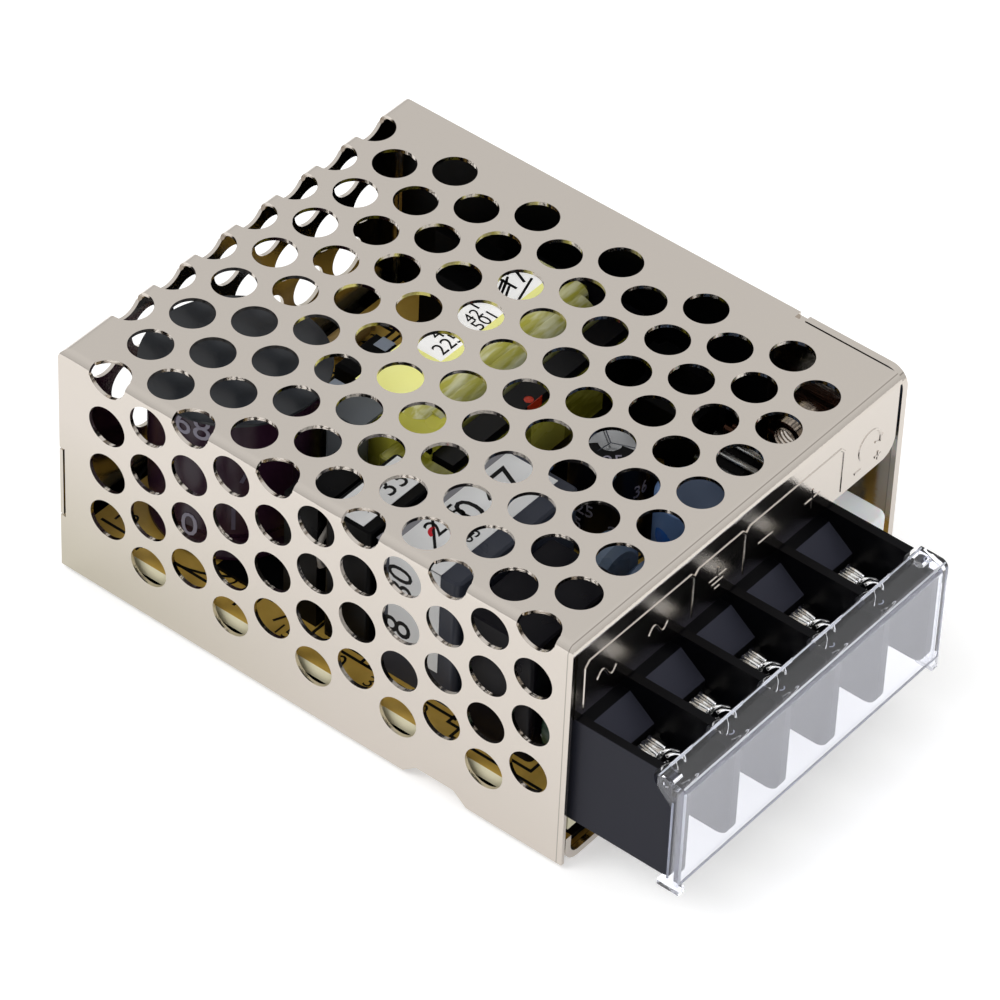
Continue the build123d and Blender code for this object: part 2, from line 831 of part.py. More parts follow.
def heatsink(x):
    """Upright plate close to the side wall."""
    half = sink_width / 2
    plate = block(x - half, x + half, sink_y, sink_y + sink_thickness, board_top,
                  board_top + sink_height)
    return chamfer(edges_at(plate, Axis.Y, z=board_top + sink_height), 1.2)


def power_device(x):
    """Flat power package: moulded body, metal tab above it and three leads."""
    low = board_top + device_lift
    half = device_width / 2
    face = sink_y - device_thickness
    body = block(x - half, x + half, face, sink_y, low, low + device_height)
    body = chamfer(edges_at(body, Axis.X, y=face), 0.6)
    tab_top = low + device_height + device_tab_height
    body += block(x - half, x + half, sink_y - device_tab_thickness, sink_y,
                  low + device_height, tab_top)
    body -= bar_y(x, 0, right, tab_top - device_tab_height / 2, device_hole)
    lead_y = face + device_thickness / 2
    for step in (-1, 0, 1):
        lead_x = x + step * device_lead_pitch
        body += block(lead_x - device_lead / 2, lead_x + device_lead / 2, lead_y - 0.25,
                      lead_y + 0.25, board_top, low)
    return body


def chip(x, y, length, width, height):
    body = block(x - length / 2, x + length / 2, y - width / 2, y + width / 2,
                 board_top + 0.4, board_top + 0.4 + height)
    body = chamfer(body.faces().sort_by(Axis.Z)[-1].edges(), 0.35)
    count = max(2, round(length / 2.54))
    for n in range(count):
        px = x + (n - (count - 1) / 2) * 2.54
        for side in (-1, 1):
            py = y + side * (width / 2 + 0.25)
            body += block(px - 0.3, px + 0.3, min(py, y), max(py, y), board_top + 0.9, board_top + 1.4)
            body += block(px - 0.3, px + 0.3, py - 0.25, py + 0.25, board_top, board_top + 1.4)
    return body


def axial_part(x, y, length, radius):
    """Resistor or diode lying along Y, its wires bent down into the board."""
    z = board_top + radius + 0.3
    body = bar_y(x, y - length / 2, y + length / 2, z, radius)
    body = chamfer(body.edges().filter_by(GeomType.CIRCLE), radius * 0.4)
    for side in (-1, 1):
        end = y + side * (length / 2 + 1.2)
        body += bar_y(x, min(y, end), max(y, end), z, 0.35)
        body += post(x, end, board_top, z + 0.35, 0.35)
    return body


def thermistor(x, y):
    z = board_top + 1.0 + 3.6
    disc = lying_disc(x, y, z, 3.6, 3.2)
    for dy in (-1.8, 1.8):
        disc += post(x, y + dy, board_top, z, 0.35)
    return disc


def indicator(x, y):
    """Round indicator lamp on its collar."""
    lamp = post(x, y, board_top, board_top + 1.0, 1.7)
    lamp += post(x, y, board_top + 1.0, board_top + 3.4, 1.45)
    return chamfer(lamp.edges().filter_by(GeomType.CIRCLE).sort_by(Axis.Z)[-1:], 0.7)


def adjuster_body():
    half = adjuster_width / 2
    body = block(adjuster_back, adjuster_front, adjuster_y - half, adjuster_y + half,
                 board_top, adjuster_top)
    body = fillet(edges_at(body, Axis.Z, x=adjuster_front), adjuster_round)
    body = fillet(body.faces().sort_by(Axis.Z)[-1].edges(), 0.5)
    seat = adjuster_front + rotor_stand - rotor_thickness - rotor_floor_gap
    return body - bar_x(seat, adjuster_front + 1, adjuster_y, rotor_height, rotor_radius + rotor_gap)


def adjuster_rotor():
    tip = adjuster_front + rotor_stand
    rotor = bar_x(tip - rotor_thickness, tip, adjuster_y, rotor_height, rotor_radius)
    slot = Box(1.2, rotor_slot, 2 * rotor_radius - 0.8)
    cross = Box(1.2, 2 * rotor_radius - 0.8, rotor_slot)
    place = Pos(tip, adjuster_y, rotor_height)
    return rotor - place * slot - place * cross


# Every piece by name; the poles are numbered from the perforated side
parts = {
    "chassis": tray(),
    "perforated_cover": perforated_cover(),
    "cover_screws": cover_screws(),
    "insulation_sheet": insulation_sheet(),
    "circuit_board": circuit_board(),
    "board_standoffs": board_standoffs(),
    "board_screws": board_screws(),
    "bulk_capacitor": bulk_capacitor(),
    "transformer_bobbin": transformer_bobbin(),
    "transformer_winding": transformer_winding(),
    "transformer_core": transformer_core(),
    "core_tape": core_tape(),
    "transformer_label": transformer_label(),
    "film_capacitor": boxed_part(film_x, film_y, film_size, 0.8),
    "line_choke": boxed_part(choke_x, choke_y, choke_size, 0.5),
    "suppression_capacitor": boxed_part(suppression_x, suppression_y, suppression_size, 0.5),
    "boxed_filter": boxed_part(boxed_x, boxed_y, boxed_size, 0.6),
    "snubber_capacitor": boxed_part(snubber_x, snubber_y, snubber_size, 0.4),
    "output_capacitor_1": can(output_cap_x, output_cap_y, output_cap_radius, output_cap_height),
    "output_capacitor_2": can(second_cap_x, output_cap_y, output_cap_radius, second_cap_height),
    "disc_capacitor_1": disc_capacitor(disc_x, disc_y),
    "disc_capacitor_2": disc_capacitor(disc_x + disc_spacing, disc_y),
    "output_choke": output_choke(),
    "transistor_heatsink": heatsink(transistor_x),
    "switching_transistor": power_device(transistor_x),
    "rectifier_heatsink": heatsink(rectifier_x),
    "output_rectifier": power_device(rectifier_x),
    "bridge_rectifier": chip(board_back + 11.2, board_left + 25.9, 8.5, 6.4, 3.2),
    "controller_chip": chip(board_back + 10.6, board_left + 34.2, 9.8, 6.4, 3.4),
    "optocoupler": chip(board_back + 34.6, board_left + 25.3, 4.8, 5.8, 3.4),
    "start_resistor": axial_part(board_back + 2.4, board_left + 36.8, 5.6, 1.2),
    "snubber_resistor": axial_part(board_back + 55.2, board_left + 25.3, 4.6, 1.4),
    "inrush_thermistor": thermistor(board_back + 55.5, board_left + 6.4),
    "indicator_lamp": indicator(board_back + 53.6, board_right - 2.4),
    "adjuster_body": adjuster_body(),
    "adjuster_rotor": adjuster_rotor(),
    "terminal_block": terminal_block(),
    "terminal_lid": terminal_lid(),
}
for number, y in enumerate(pole_places(), 1):
    parts[f"contact_plate_{number}"] = contact_plate(y)
    parts[f"wire_clamp_{number}"] = wire_clamp(y)
    parts[f"terminal_screw_{number}"] = terminal_screw(y)

os.makedirs("parts", exist_ok=True)
for name, shape in parts.items():
    if isinstance(shape, list):
        shape = Compound(children=shape)
    export_step(shape, f"parts/{name}.step")
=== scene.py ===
import bpy
import math
import random
from mathutils import Matrix, Vector


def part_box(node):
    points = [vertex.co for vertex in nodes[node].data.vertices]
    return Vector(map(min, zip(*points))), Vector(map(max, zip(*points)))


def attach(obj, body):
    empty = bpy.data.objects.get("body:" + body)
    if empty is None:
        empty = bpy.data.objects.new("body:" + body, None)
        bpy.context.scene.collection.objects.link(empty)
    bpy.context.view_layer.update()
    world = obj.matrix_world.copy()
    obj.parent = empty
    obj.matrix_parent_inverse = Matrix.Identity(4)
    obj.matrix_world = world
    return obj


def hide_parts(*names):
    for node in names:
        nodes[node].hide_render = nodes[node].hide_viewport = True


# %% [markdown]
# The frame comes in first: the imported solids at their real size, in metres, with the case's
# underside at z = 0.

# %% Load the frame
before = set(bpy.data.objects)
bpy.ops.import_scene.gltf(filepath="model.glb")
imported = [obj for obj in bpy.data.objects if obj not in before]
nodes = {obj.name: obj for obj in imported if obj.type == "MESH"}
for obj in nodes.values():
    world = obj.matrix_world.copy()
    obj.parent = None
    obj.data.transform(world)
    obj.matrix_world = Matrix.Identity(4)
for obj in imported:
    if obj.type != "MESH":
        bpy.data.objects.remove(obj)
scene = bpy.context.scene
MM = 0.001
random.seed(7)


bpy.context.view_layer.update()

# %% [markdown]
# Colours are written as the eye names them, in sRGB hex, and one function turns them linear.
# One helper adds a shader node and fills its sockets, so each material below reads as a short
# recipe with named steps.

# %% Helpers for colour and shader nodes


def linear(code):
    """Turns an sRGB hex colour into the linear colour that the shaders use."""
    parts = [int(code[i:i + 2], 16) / 255 for i in (0, 2, 4)]
    return tuple(c / 12.92 if c <= 0.04045 else ((c + 0.055) / 1.055) ** 2.4
                 for c in parts) + (1.0,)


def add(tree, kind, inputs=None, **settings):
    """Adds one shader node. A tuple (node, output) in inputs is a link, anything else a value."""
    node = tree.nodes.new(kind)
    for key, value in settings.items():
        setattr(node, key, value)
    for key, value in (inputs or {}).items():
        if isinstance(value, tuple) and isinstance(value[0], bpy.types.Node):
            tree.links.new(value[0].outputs[value[1]], node.inputs[key])
        else:
            node.inputs[key].default_value = value
    return node


def material(name, **values):
    """A principled material with uniform values on its own sockets."""
    made = bpy.data.materials.new(name)
    made.use_nodes = True
    shader = made.node_tree.nodes["Principled BSDF"]
    for key, value in values.items():
        shader.inputs[key.replace("_", " ")].default_value = value
    return made, made.node_tree, shader


def position(tree):
    """Object coordinates in millimetres."""
    where = add(tree, "ShaderNodeTexCoord")
    return add(tree, "ShaderNodeVectorMath", {0: (where, "Object"), 1: (1000, 1000, 1000)},
               operation="MULTIPLY")


def noise(tree, where, size_mm, detail=3.0, rough=0.5):
    """Noise whose blotches are about size_mm wide."""
    return add(tree, "ShaderNodeTexNoise", {"Vector": (where, "Vector"), "Scale": 1 / size_mm,
               "Detail": detail, "Roughness": rough})


def ramp(tree, source, low, high, to_low, to_high):
    """Maps source from low..high onto to_low..to_high, held at both ends."""
    return add(tree, "ShaderNodeMapRange", {"Value": source, "From Min": low, "From Max": high,
               "To Min": to_low, "To Max": to_high})


def bump(tree, shader, height, strength, depth_mm):
    made = add(tree, "ShaderNodeBump", {"Height": height, "Strength": strength,
               "Distance": depth_mm * MM})
    tree.links.new(made.outputs["Normal"], shader.inputs["Normal"])


def blend_colour(tree, factor, dark, light):
    return add(tree, "ShaderNodeMix", {"Factor": factor, "A": dark, "B": light},
               data_type="RGBA")


# %% [markdown]
# The camera stands left of the front corner and looks down on the case from far off, so the
# box's edges stay nearly parallel. Its place comes from the case's corners and the hole grid.

# %% Camera
camera_data = bpy.data.cameras.new("camera")
camera = bpy.data.objects.new("camera", camera_data)
scene.collection.objects.link(camera)
camera_data.sensor_width = 36.0
camera_data.lens = 221.42
camera_data.clip_end = 10.0
place = Vector((0.26783, -0.34713, 0.41121))
camera_data.dof.use_dof = False
right_axis = Vector((0.774791, 0.631291, 0.034216))
up_axis = Vector((-0.446171, 0.507644, 0.737041))
toward = Vector((0.447918, -0.586319, 0.674982))
turn = Matrix((right_axis, up_axis, toward)).transposed()
camera.matrix_world = Matrix.Translation(place) @ turn.to_4x4()
scene.camera = camera
print("camera distance", round(camera.location.length * 1000), "mm")

# %% [markdown]
# A pale studio table and a soft sky, as on a product table. Bright nickel shows nothing but its
# surroundings, so the sky is a smooth grey that gets brighter upwards, and two large soft lamps
# shape the black block. The sky looks white to the camera and through clear plastic. The table
# glows a little, by one amount for the camera, one for mirrors and one for clear plastic, so it
# looks white under the case and still keeps its soft shadow.

# %% Table, sky and lamps
scene.view_settings.view_transform = "Standard"
world = bpy.data.worlds.new("soft_sky")
scene.world = world
world.use_nodes = True
tree = world.node_tree
tree.nodes.clear()
rays = add(tree, "ShaderNodeLightPath")
seen = add(tree, "ShaderNodeMath", {0: (rays, "Is Camera Ray"), 1: (rays, "Is Transmission Ray")},
           operation="MAXIMUM")
direction = add(tree, "ShaderNodeTexCoord")
height = add(tree, "ShaderNodeSeparateXYZ", {0: (direction, "Generated")})
sky_low, sky_high = 0.62, 0.84
shade = ramp(tree, (height, "Z"), -0.1, 0.9, sky_low, sky_high)
pure_white = (1.0, 1.0, 1.0, 1.0)
sky = add(tree, "ShaderNodeBackground", {"Color": pure_white, "Strength": (shade, "Result")})
white = add(tree, "ShaderNodeBackground", {"Color": pure_white, "Strength": 1.0})
mixed = add(tree, "ShaderNodeMixShader", {0: (seen, "Value"), 1: (sky, "Background"),
            2: (white, "Background")})
add(tree, "ShaderNodeOutputWorld", {"Surface": (mixed, "Shader")})

table_paint, tree, shader = material("pale_table", Base_Color=linear("F2F2F2"), Roughness=0.9)
rays = add(tree, "ShaderNodeLightPath")
glow_mirrored, glow_seen, glow_behind = 0.22, 0.34, 0.8
mirrored = ramp(tree, (rays, "Is Glossy Ray"), 0, 1, 0, glow_mirrored)
lift = ramp(tree, (rays, "Is Camera Ray"), 0, 1, (mirrored, "Result"), glow_seen)
behind = ramp(tree, (rays, "Is Transmission Ray"), 0, 1, (lift, "Result"), glow_behind)
tree.links.new(behind.outputs["Result"], shader.inputs["Emission Strength"])
shader.inputs["Emission Color"].default_value = pure_white

table_size, table_drop = 6.0, 0.2 * MM
bpy.ops.mesh.primitive_plane_add(size=table_size, location=(0, 0, -table_drop))
table = bpy.context.object
table.name = "table"
table.data.materials.append(table_paint)


def soft_lamp(name, place, aim, size, power):
    """A square lamp that lights the part and doesn't show in its mirrors."""
    data = bpy.data.lights.new(name, "AREA")
    data.shape = "SQUARE"
    data.size = size
    data.energy = power
    lamp = bpy.data.objects.new(name, data)
    lamp.location = place
    lamp.rotation_euler = (Vector(aim) - Vector(place)).to_track_quat("-Z", "Y").to_euler()
    lamp.visible_glossy = False
    scene.collection.objects.link(lamp)


lamp_aim, lamp_size = (0, 0, 0.01), 0.5
soft_lamp("key_lamp", (-0.35, -0.55, 0.85), lamp_aim, lamp_size, 3.0)
soft_lamp("side_lamp", (0.85, 0.15, 0.55), lamp_aim, lamp_size, 1.4)

# %% [markdown]
# Materials, each named for the real one. The sheet is steel with bright nickel plate: a warm
# mirror, slightly softened by the rolled surface under the plate. A fine line beside the front
# bend is drawn as a narrow crease in the bump and a painted dark reflection in the tone, since a
# cut that fine isn't worth faces. The rear foot of the sheet is darker, as painted shade.

# %% Sheet metal
# Rolled sheet under bright plate: a warm mirror with long faint grain along the case.
nickel, tree, shader = material("bright_nickel_sheet", Metallic=1.0)
where = position(tree)
cloud = noise(tree, where, 9.0, 4.0, 0.55)
soft = ramp(tree, (cloud, "Fac"), 0.3, 0.7, 0.09, 0.15)
tree.links.new(soft.outputs["Result"], shader.inputs["Roughness"])
rolled = add(tree, "ShaderNodeVectorMath", {0: (where, "Vector"), 1: (0.35, 6.0, 6.0)},
             operation="MULTIPLY")
grain = noise(tree, rolled, 1.0, 2.0, 0.5)
fold_inset = 0.62
fold_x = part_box("perforated_cover")[1].x / MM - fold_inset
xyz = add(tree, "ShaderNodeSeparateXYZ", {0: (where, "Vector")})
away = add(tree, "ShaderNodeMath", {0: (xyz, "X"), 1: fold_x}, operation="SUBTRACT")
away = add(tree, "ShaderNodeMath", {0: (away, "Value")}, operation="ABSOLUTE")
crease = ramp(tree, (away, "Value"), 0.0, 0.16, 3.5, 0.0)
height = add(tree, "ShaderNodeMath", {0: (grain, "Fac"), 1: (crease, "Result")}, operation="ADD")
bump(tree, shader, (height, "Value"), 0.06, 0.24)
# Painted dark reflection: a thin darker line in the base colour along the front bend.
painted_bend_reflection = ramp(tree, (away, "Value"), 0.02, 0.08, 1.0, 0.0)
tone = blend_colour(tree, (painted_bend_reflection, "Result"), linear("D6CEC5"), linear("A59E95"))
# Painted shade: the base colour darkens towards the rear and the bottom of the sheet.
rear = ramp(tree, (xyz, "X"), -31.0, 4.0, 0.75, 0.0)
foot = ramp(tree, (xyz, "Z"), 2.0, 20.0, 1.0, 0.0)
shade = add(tree, "ShaderNodeMath", {0: (rear, "Result"), 1: (foot, "Result")},
            operation="MULTIPLY")
tone = blend_colour(tree, (shade, "Value"), (tone, "Result"), linear("BDB7A4"))
tree.links.new(tone.outputs["Result"], shader.inputs["Base Color"])

# Zinc plate on screws: a cooler, duller mirror with small blotches.
zinc, tree, shader = material("zinc_plated_steel", Base_Color=linear("C9CBCB"), Metallic=1.0)
cloud = noise(tree, position(tree), 0.8, 3.0)
soft = ramp(tree, (cloud, "Fac"), 0.3, 0.7, 0.2, 0.36)
tree.links.new(soft.outputs["Result"], shader.inputs["Roughness"])

# Small stamped and plated fittings: nearly white, with sharp sparkles.
terminal_metal, tree, shader = material("nickel_plated_terminal", Base_Color=linear("F2F2F0"),
                                        Metallic=1.0)
cloud = noise(tree, position(tree), 0.5, 3.0)
soft = ramp(tree, (cloud, "Fac"), 0.3, 0.7, 0.06, 0.2)
tree.links.new(soft.outputs["Result"], shader.inputs["Roughness"])

# %% [markdown]
# Moulded plastics and lacquers. One function makes them all, since they share a fine skin and a
# cloudy shine. The terminal block is black filled resin; its sloped floors and its outer side get
# painted light, a lighter bluish grey base, and the rest stays dark. The lid is clear moulded plastic.
# Its upright panel has a thin milky veil, as worn clear plastic has, and lets light through to
# what lies below. The yellow tape and the label's film glow a little, as painted light.

# %% Plastics


def moulded(name, code, rough, grain_mm=0.25, depth=0.004, shine=0.5, **more):
    """Resin with a fine skin. Shine is the strength of its mirror-like layer."""
    made, tree, shader = material(name, Base_Color=linear(code), Specular_IOR_Level=shine, **more)
    where = position(tree)
    skin = noise(tree, where, grain_mm, 3.0)
    bump(tree, shader, (skin, "Fac"), 0.25, depth)
    cloud = noise(tree, where, 4.0, 2.0)
    soft = ramp(tree, (cloud, "Fac"), 0.3, 0.7, rough * 0.85, rough * 1.2)
    tree.links.new(soft.outputs["Result"], shader.inputs["Roughness"])
    return made


# Epoxy and phenolic round the hot parts: nearly black, without shine.
package_black = moulded("black_epoxy_package", "070708", 0.45, 0.15, 0.006, 0.08)
former_black = moulded("black_phenolic", "080707", 0.40, shine=0.08)
# Filled boxes of the capacitors and chokes: dark, smooth, with a low soft sheen.
box_slate = moulded("slate_box_resin", "373B47", 0.32, shine=0.3)
choke_dark = moulded("black_box_resin", "060608", 0.30, shine=0.08)
filter_dark = moulded("filter_box_resin", "0E0D14", 0.30, shine=0.12)
grey_box = moulded("grey_box_resin", "63686E", 0.35, shine=0.3)
# Nylon: white with light inside, so its edges look soft.
adjuster_white = moulded("white_nylon", "F2F6F8", 0.38, 0.3, 0.004, Subsurface_Weight=0.3,
                         Subsurface_Scale=0.0015)
rotor_cream = moulded("cream_nylon", "DAD6CA", 0.40)
# Fired ferrite: dark grey with a fine grain.
ferrite_dark = moulded("dark_ferrite", "0C0C10", 0.35, 0.2, 0.01, 0.2)
# Label paper: white and flat.
paper_white = moulded("label_paper", "F0F1F2", 0.55)
# Dipped lacquers: wet looking, with slow waves.
lacquer_blue = moulded("blue_lacquer", "2A62B4", 0.22, 0.8, 0.02)
lacquer_slate = moulded("slate_lacquer", "475A76", 0.25, 0.8, 0.02)
lacquer_grey = moulded("grey_blue_lacquer", "75879F", 0.25, 0.8, 0.02)
lacquer_green = moulded("green_lacquer", "1E3A2A", 0.3, 0.8, 0.02)
lacquer_tan = moulded("tan_lacquer", "A98D58", 0.3)
# Insulating film: black, with the slow waves of a thin sheet.
film_black = moulded("black_insulating_film", "050506", 0.40, 1.5, 0.01, 0.08)
lamp_clear = moulded("milky_lamp_resin", "8A857A", 0.15, Transmission_Weight=0.5)
# Inks, varnish and a wire's sleeve: flat colour on what carries them.
print_black = moulded("black_print", "0A0A0C", 0.5, shine=0.2)
print_red = moulded("red_print", "C81E2C", 0.5, shine=0.3)
print_lilac = moulded("pale_sleeve_print", "A39FB0", 0.5, shine=0.3)
# The same sleeve print in a darker tone: painted shade for numbers on the can's side turned from the
# light.
print_painted_shade = moulded("sleeve_print_painted_shade", "5A5464", 0.5, shine=0.2)
varnish_red = moulded("red_varnish_drop", "B83018", 0.25, shine=0.5)
wire_grey = moulded("grey_wire_sleeve", "9A958F", 0.35)
# Turned brass and enamelled copper: small warm mirrors between the dark parts.
brass, tree, shader = material("plain_brass", Base_Color=linear("C6A55E"), Metallic=1.0,
                               Roughness=0.3)
copper, tree, shader = material("enamelled_copper", Base_Color=linear("4A2E20"), Metallic=0.8,
                                Roughness=0.22)


def block_resin():
    """Black filled resin, with painted light as a lighter bluish grey base on the sloped floors and
    the outer side; dark elsewhere.
    """
    made, tree, shader = material("black_filled_resin")
    where = position(tree)
    facing = add(tree, "ShaderNodeNewGeometry")
    normal = add(tree, "ShaderNodeSeparateXYZ", {0: (facing, "True Normal")})
    xyz = add(tree, "ShaderNodeSeparateXYZ", {0: (where, "Vector")})
    low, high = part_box("terminal_block")
    # Painted light: faces tilted up and forward, and the outer side, get a lighter bluish grey base.
    tilt = add(tree, "ShaderNodeMath", {0: (normal, "Z"), 1: (normal, "X")}, operation="MULTIPLY")
    painted_lit_slope = ramp(tree, (tilt, "Value"), 0.10, 0.16, 0.0, 1.0)
    side = ramp(tree, (xyz, "Y"), low.y / MM + 0.05, low.y / MM + 0.1, 0.55, 0.0)
    painted_lit_faces = add(tree, "ShaderNodeMath", {0: (painted_lit_slope, "Result"), 1: (side, "Result")},
                operation="MAXIMUM")
    tone = blend_colour(tree, (painted_lit_faces, "Value"), linear("08080B"), linear("33343F"))
    tree.links.new(tone.outputs["Result"], shader.inputs["Base Color"])
    rough = ramp(tree, (painted_lit_faces, "Value"), 0, 1, 0.28, 0.5)
    tree.links.new(rough.outputs["Result"], shader.inputs["Roughness"])
    shine = ramp(tree, (painted_lit_faces, "Value"), 0, 1, 0.07, 0.14)
    tree.links.new(shine.outputs["Result"], shader.inputs["Specular IOR Level"])
    skin = noise(tree, where, 0.3, 3.0)
    bump(tree, shader, (skin, "Fac"), 0.25, 0.004)
    return made


block_black = block_resin()


def tape(name, code, pale, rough, painted_curve_shade=None):
    """Polyester tape pulled tight over turns of wire: it wrinkles, and its streaks of shine are
    painted highlights in the pale colour. The optional span along X paints shade where the winding
    curves away.
    """
    made, tree, shader = material(name, Roughness=rough, Specular_IOR_Level=0.6)
    where = position(tree)
    pulled = add(tree, "ShaderNodeVectorMath", {0: (where, "Vector"), 1: (1.0, 0.22, 1.0)},
                 operation="MULTIPLY")
    crease = noise(tree, pulled, 0.9, 2.0, 0.5)
    bump(tree, shader, (crease, "Fac"), 0.55, 0.25)
    # Painted highlight: pale streaks blended into the base colour along the wrinkles.
    painted_highlight_streak = ramp(tree, (crease, "Fac"), 0.45, 0.62, 0.0, 1.0)
    tone = blend_colour(tree, (painted_highlight_streak, "Result"), linear(code), linear(pale))
    # Painted shade: the colour darkens along X, where the winding curves away from the light.
    if painted_curve_shade:
        xyz = add(tree, "ShaderNodeSeparateXYZ", {0: (where, "Vector")})
        along = ramp(tree, (xyz, "X"), painted_curve_shade[0], painted_curve_shade[1], 0.0, 0.75)
        tone = blend_colour(tree, (along, "Result"), (tone, "Result"), linear(painted_curve_shade[2]))
    tree.links.new(tone.outputs["Result"], shader.inputs["Base Color"])
    return made


tape_yellow = tape("yellow_polyester_tape", "CFCB55", "FBFAC8", 0.14, (-4.6, -1.8, "55583A"))
# Painted light: this yellow tape glows a little, brighter than the tape round it.
glow_painted_tape = moulded("yellow_tape_painted_glow", "F4F39C", 0.2, 2.0, 0.02,
                      Emission_Color=linear("F2F190"), Emission_Strength=0.3)
tape_olive = tape("olive_polyester_tape", "77741E", "9A9840", 0.2)
# Clear moulded plastic: seen by its edges and by what it makes paler behind it.
lid_clear, tree, shader = material("clear_moulded_plastic", Base_Color=linear("F4F5FA"),
                                   Roughness=0.0, IOR=1.49, Transmission_Weight=1.0,
                                   Specular_IOR_Level=0.06)
veil = add(tree, "ShaderNodeBsdfDiffuse", {"Color": linear("D8D9E2")})
xyz = add(tree, "ShaderNodeSeparateXYZ", {0: (position(tree), "Vector")})
lid_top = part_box("terminal_lid")[1].z / MM
panel_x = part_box("terminal_lid")[1].x / MM - 1.0
veil_share = 0.17
below = ramp(tree, (xyz, "Z"), lid_top - 0.9, lid_top - 0.7, veil_share, 0.0)
haze = ramp(tree, (xyz, "X"), panel_x - 0.1, panel_x + 0.1, 0.0, 1.0)
haze = add(tree, "ShaderNodeMath", {0: (haze, "Result"), 1: (below, "Result")},
           operation="MULTIPLY")
mixed = add(tree, "ShaderNodeMixShader", {0: (haze, "Value"), 1: (shader, "BSDF"),
            2: (veil, "BSDF")})
rays = add(tree, "ShaderNodeLightPath")
passing = add(tree, "ShaderNodeBsdfTransparent", {"Color": linear("F2F3F8")})
mixed = add(tree, "ShaderNodeMixShader", {0: (rays, "Is Shadow Ray"), 1: (mixed, "Shader"),
            2: (passing, "BSDF")})
tree.links.new(mixed.outputs["Shader"], tree.nodes["Material Output"].inputs["Surface"])

# %% [markdown]
# The board is golden tan paper laminate with a pale cut edge. Its black legend is printed
# further down, as outlines round the parts.

# %% Board laminate
# Pressed paper and resin: golden tan with blotches, and a cut edge as pale as card.
laminate, tree, shader = material("tan_paper_laminate", Roughness=0.42)
where = position(tree)
fibre = noise(tree, where, 1.4, 4.0, 0.6)
tone = blend_colour(tree, (fibre, "Fac"), linear("C39B3C"), linear("E0BC60"))
facing = add(tree, "ShaderNodeNewGeometry")
normal = add(tree, "ShaderNodeSeparateXYZ", {0: (facing, "Normal")})
flat = add(tree, "ShaderNodeMath", {0: (normal, "Z")}, operation="ABSOLUTE")
edge = blend_colour(tree, (flat, "Value"), linear("EDE6C6"), (tone, "Result"))
tree.links.new(edge.outputs["Result"], shader.inputs["Base Color"])

# %% [markdown]
# Capacitor cans: a shrunk sleeve over aluminium. The sleeve covers the side and the rolled rim,
# and the can's own top shows inside it, so one material changes with the distance from the
# can's axis and with the height.

# %% Capacitor sleeves


def can_material(node, name, sleeve, top, metallic, rim=0.83):
    """A shrunk sleeve with a soft shine, open over the can's top inside rim, a share of its radius."""
    low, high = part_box(node)
    middle = (low + high) / 2 / MM
    radius = (high.x - low.x) / 2 / MM
    made, tree, shader = material(name, Roughness=0.26, Specular_IOR_Level=0.35)
    local = add(tree, "ShaderNodeVectorMath", {0: (position(tree), "Vector"),
                1: (middle.x, middle.y, high.z / MM)}, operation="SUBTRACT")
    xyz = add(tree, "ShaderNodeSeparateXYZ", {0: (local, "Vector")})
    reach = add(tree, "ShaderNodeVectorMath", {0: (local, "Vector"), 1: (1, 1, 0)},
                operation="MULTIPLY")
    away = add(tree, "ShaderNodeVectorMath", {0: (reach, "Vector")}, operation="LENGTH")
    inside = ramp(tree, (away, "Value"), radius * rim - 0.1, radius * rim + 0.1, 1.0, 0.0)
    up = ramp(tree, (xyz, "Z"), -0.65, -0.55, 0.0, 1.0)
    cap = add(tree, "ShaderNodeMath", {0: (inside, "Result"), 1: (up, "Result")},
              operation="MULTIPLY")
    whole = blend_colour(tree, (cap, "Value"), linear(sleeve), linear(top))
    tree.links.new(whole.outputs["Result"], shader.inputs["Base Color"])
    shine = ramp(tree, (cap, "Value"), 0, 1, 0.0, metallic)
    tree.links.new(shine.outputs["Result"], shader.inputs["Metallic"])
    return made


# %% [markdown]
# Each solid of the frame gets the material of its real counterpart. The solids themselves stay
# as they came, so the looks and the construction can't drift apart.

# %% Materials onto the frame
finishes = {
    "chassis": nickel, "perforated_cover": nickel, "cover_screws": zinc,
    "insulation_sheet": film_black, "circuit_board": laminate, "board_standoffs": brass,
    "board_screws": zinc, "transformer_bobbin": former_black,
    "transformer_winding": tape_yellow, "transformer_core": ferrite_dark,
    "core_tape": tape_olive, "transformer_label": paper_white, "film_capacitor": box_slate,
    "line_choke": choke_dark, "suppression_capacitor": tape_olive,
    "boxed_filter": filter_dark, "snubber_capacitor": grey_box,
    "disc_capacitor_1": lacquer_grey, "disc_capacitor_2": lacquer_slate,
    "output_choke": former_black, "transistor_heatsink": package_black,
    "rectifier_heatsink": package_black, "switching_transistor": package_black,
    "output_rectifier": package_black, "bridge_rectifier": package_black,
    "controller_chip": package_black, "optocoupler": package_black,
    "start_resistor": lacquer_tan, "snubber_resistor": lacquer_tan,
    "inrush_thermistor": lacquer_green, "indicator_lamp": lamp_clear,
    "adjuster_body": adjuster_white, "adjuster_rotor": rotor_cream,
    "terminal_block": block_black, "terminal_lid": lid_clear,
    "bulk_capacitor": can_material("bulk_capacitor", "dark_can_sleeve", "30192B", "2E3136",
                                   0.0, 1.2),
    "output_capacitor_1": can_material("output_capacitor_1", "black_can_sleeve", "0B0B10",
                                       "C6C8CB", 1.0),
    "output_capacitor_2": can_material("output_capacitor_2", "slate_can_sleeve", "6682AE",
                                       "4C5970", 0.3),
}
for number in range(1, 6):
    for stem in ("contact_plate", "wire_clamp", "terminal_screw"):
        finishes[f"{stem}_{number}"] = terminal_metal
for name, node in nodes.items():
    node.data.materials.clear()
    node.data.materials.append(finishes[name])
print("nodes with a material", len(finishes), "of", len(nodes))

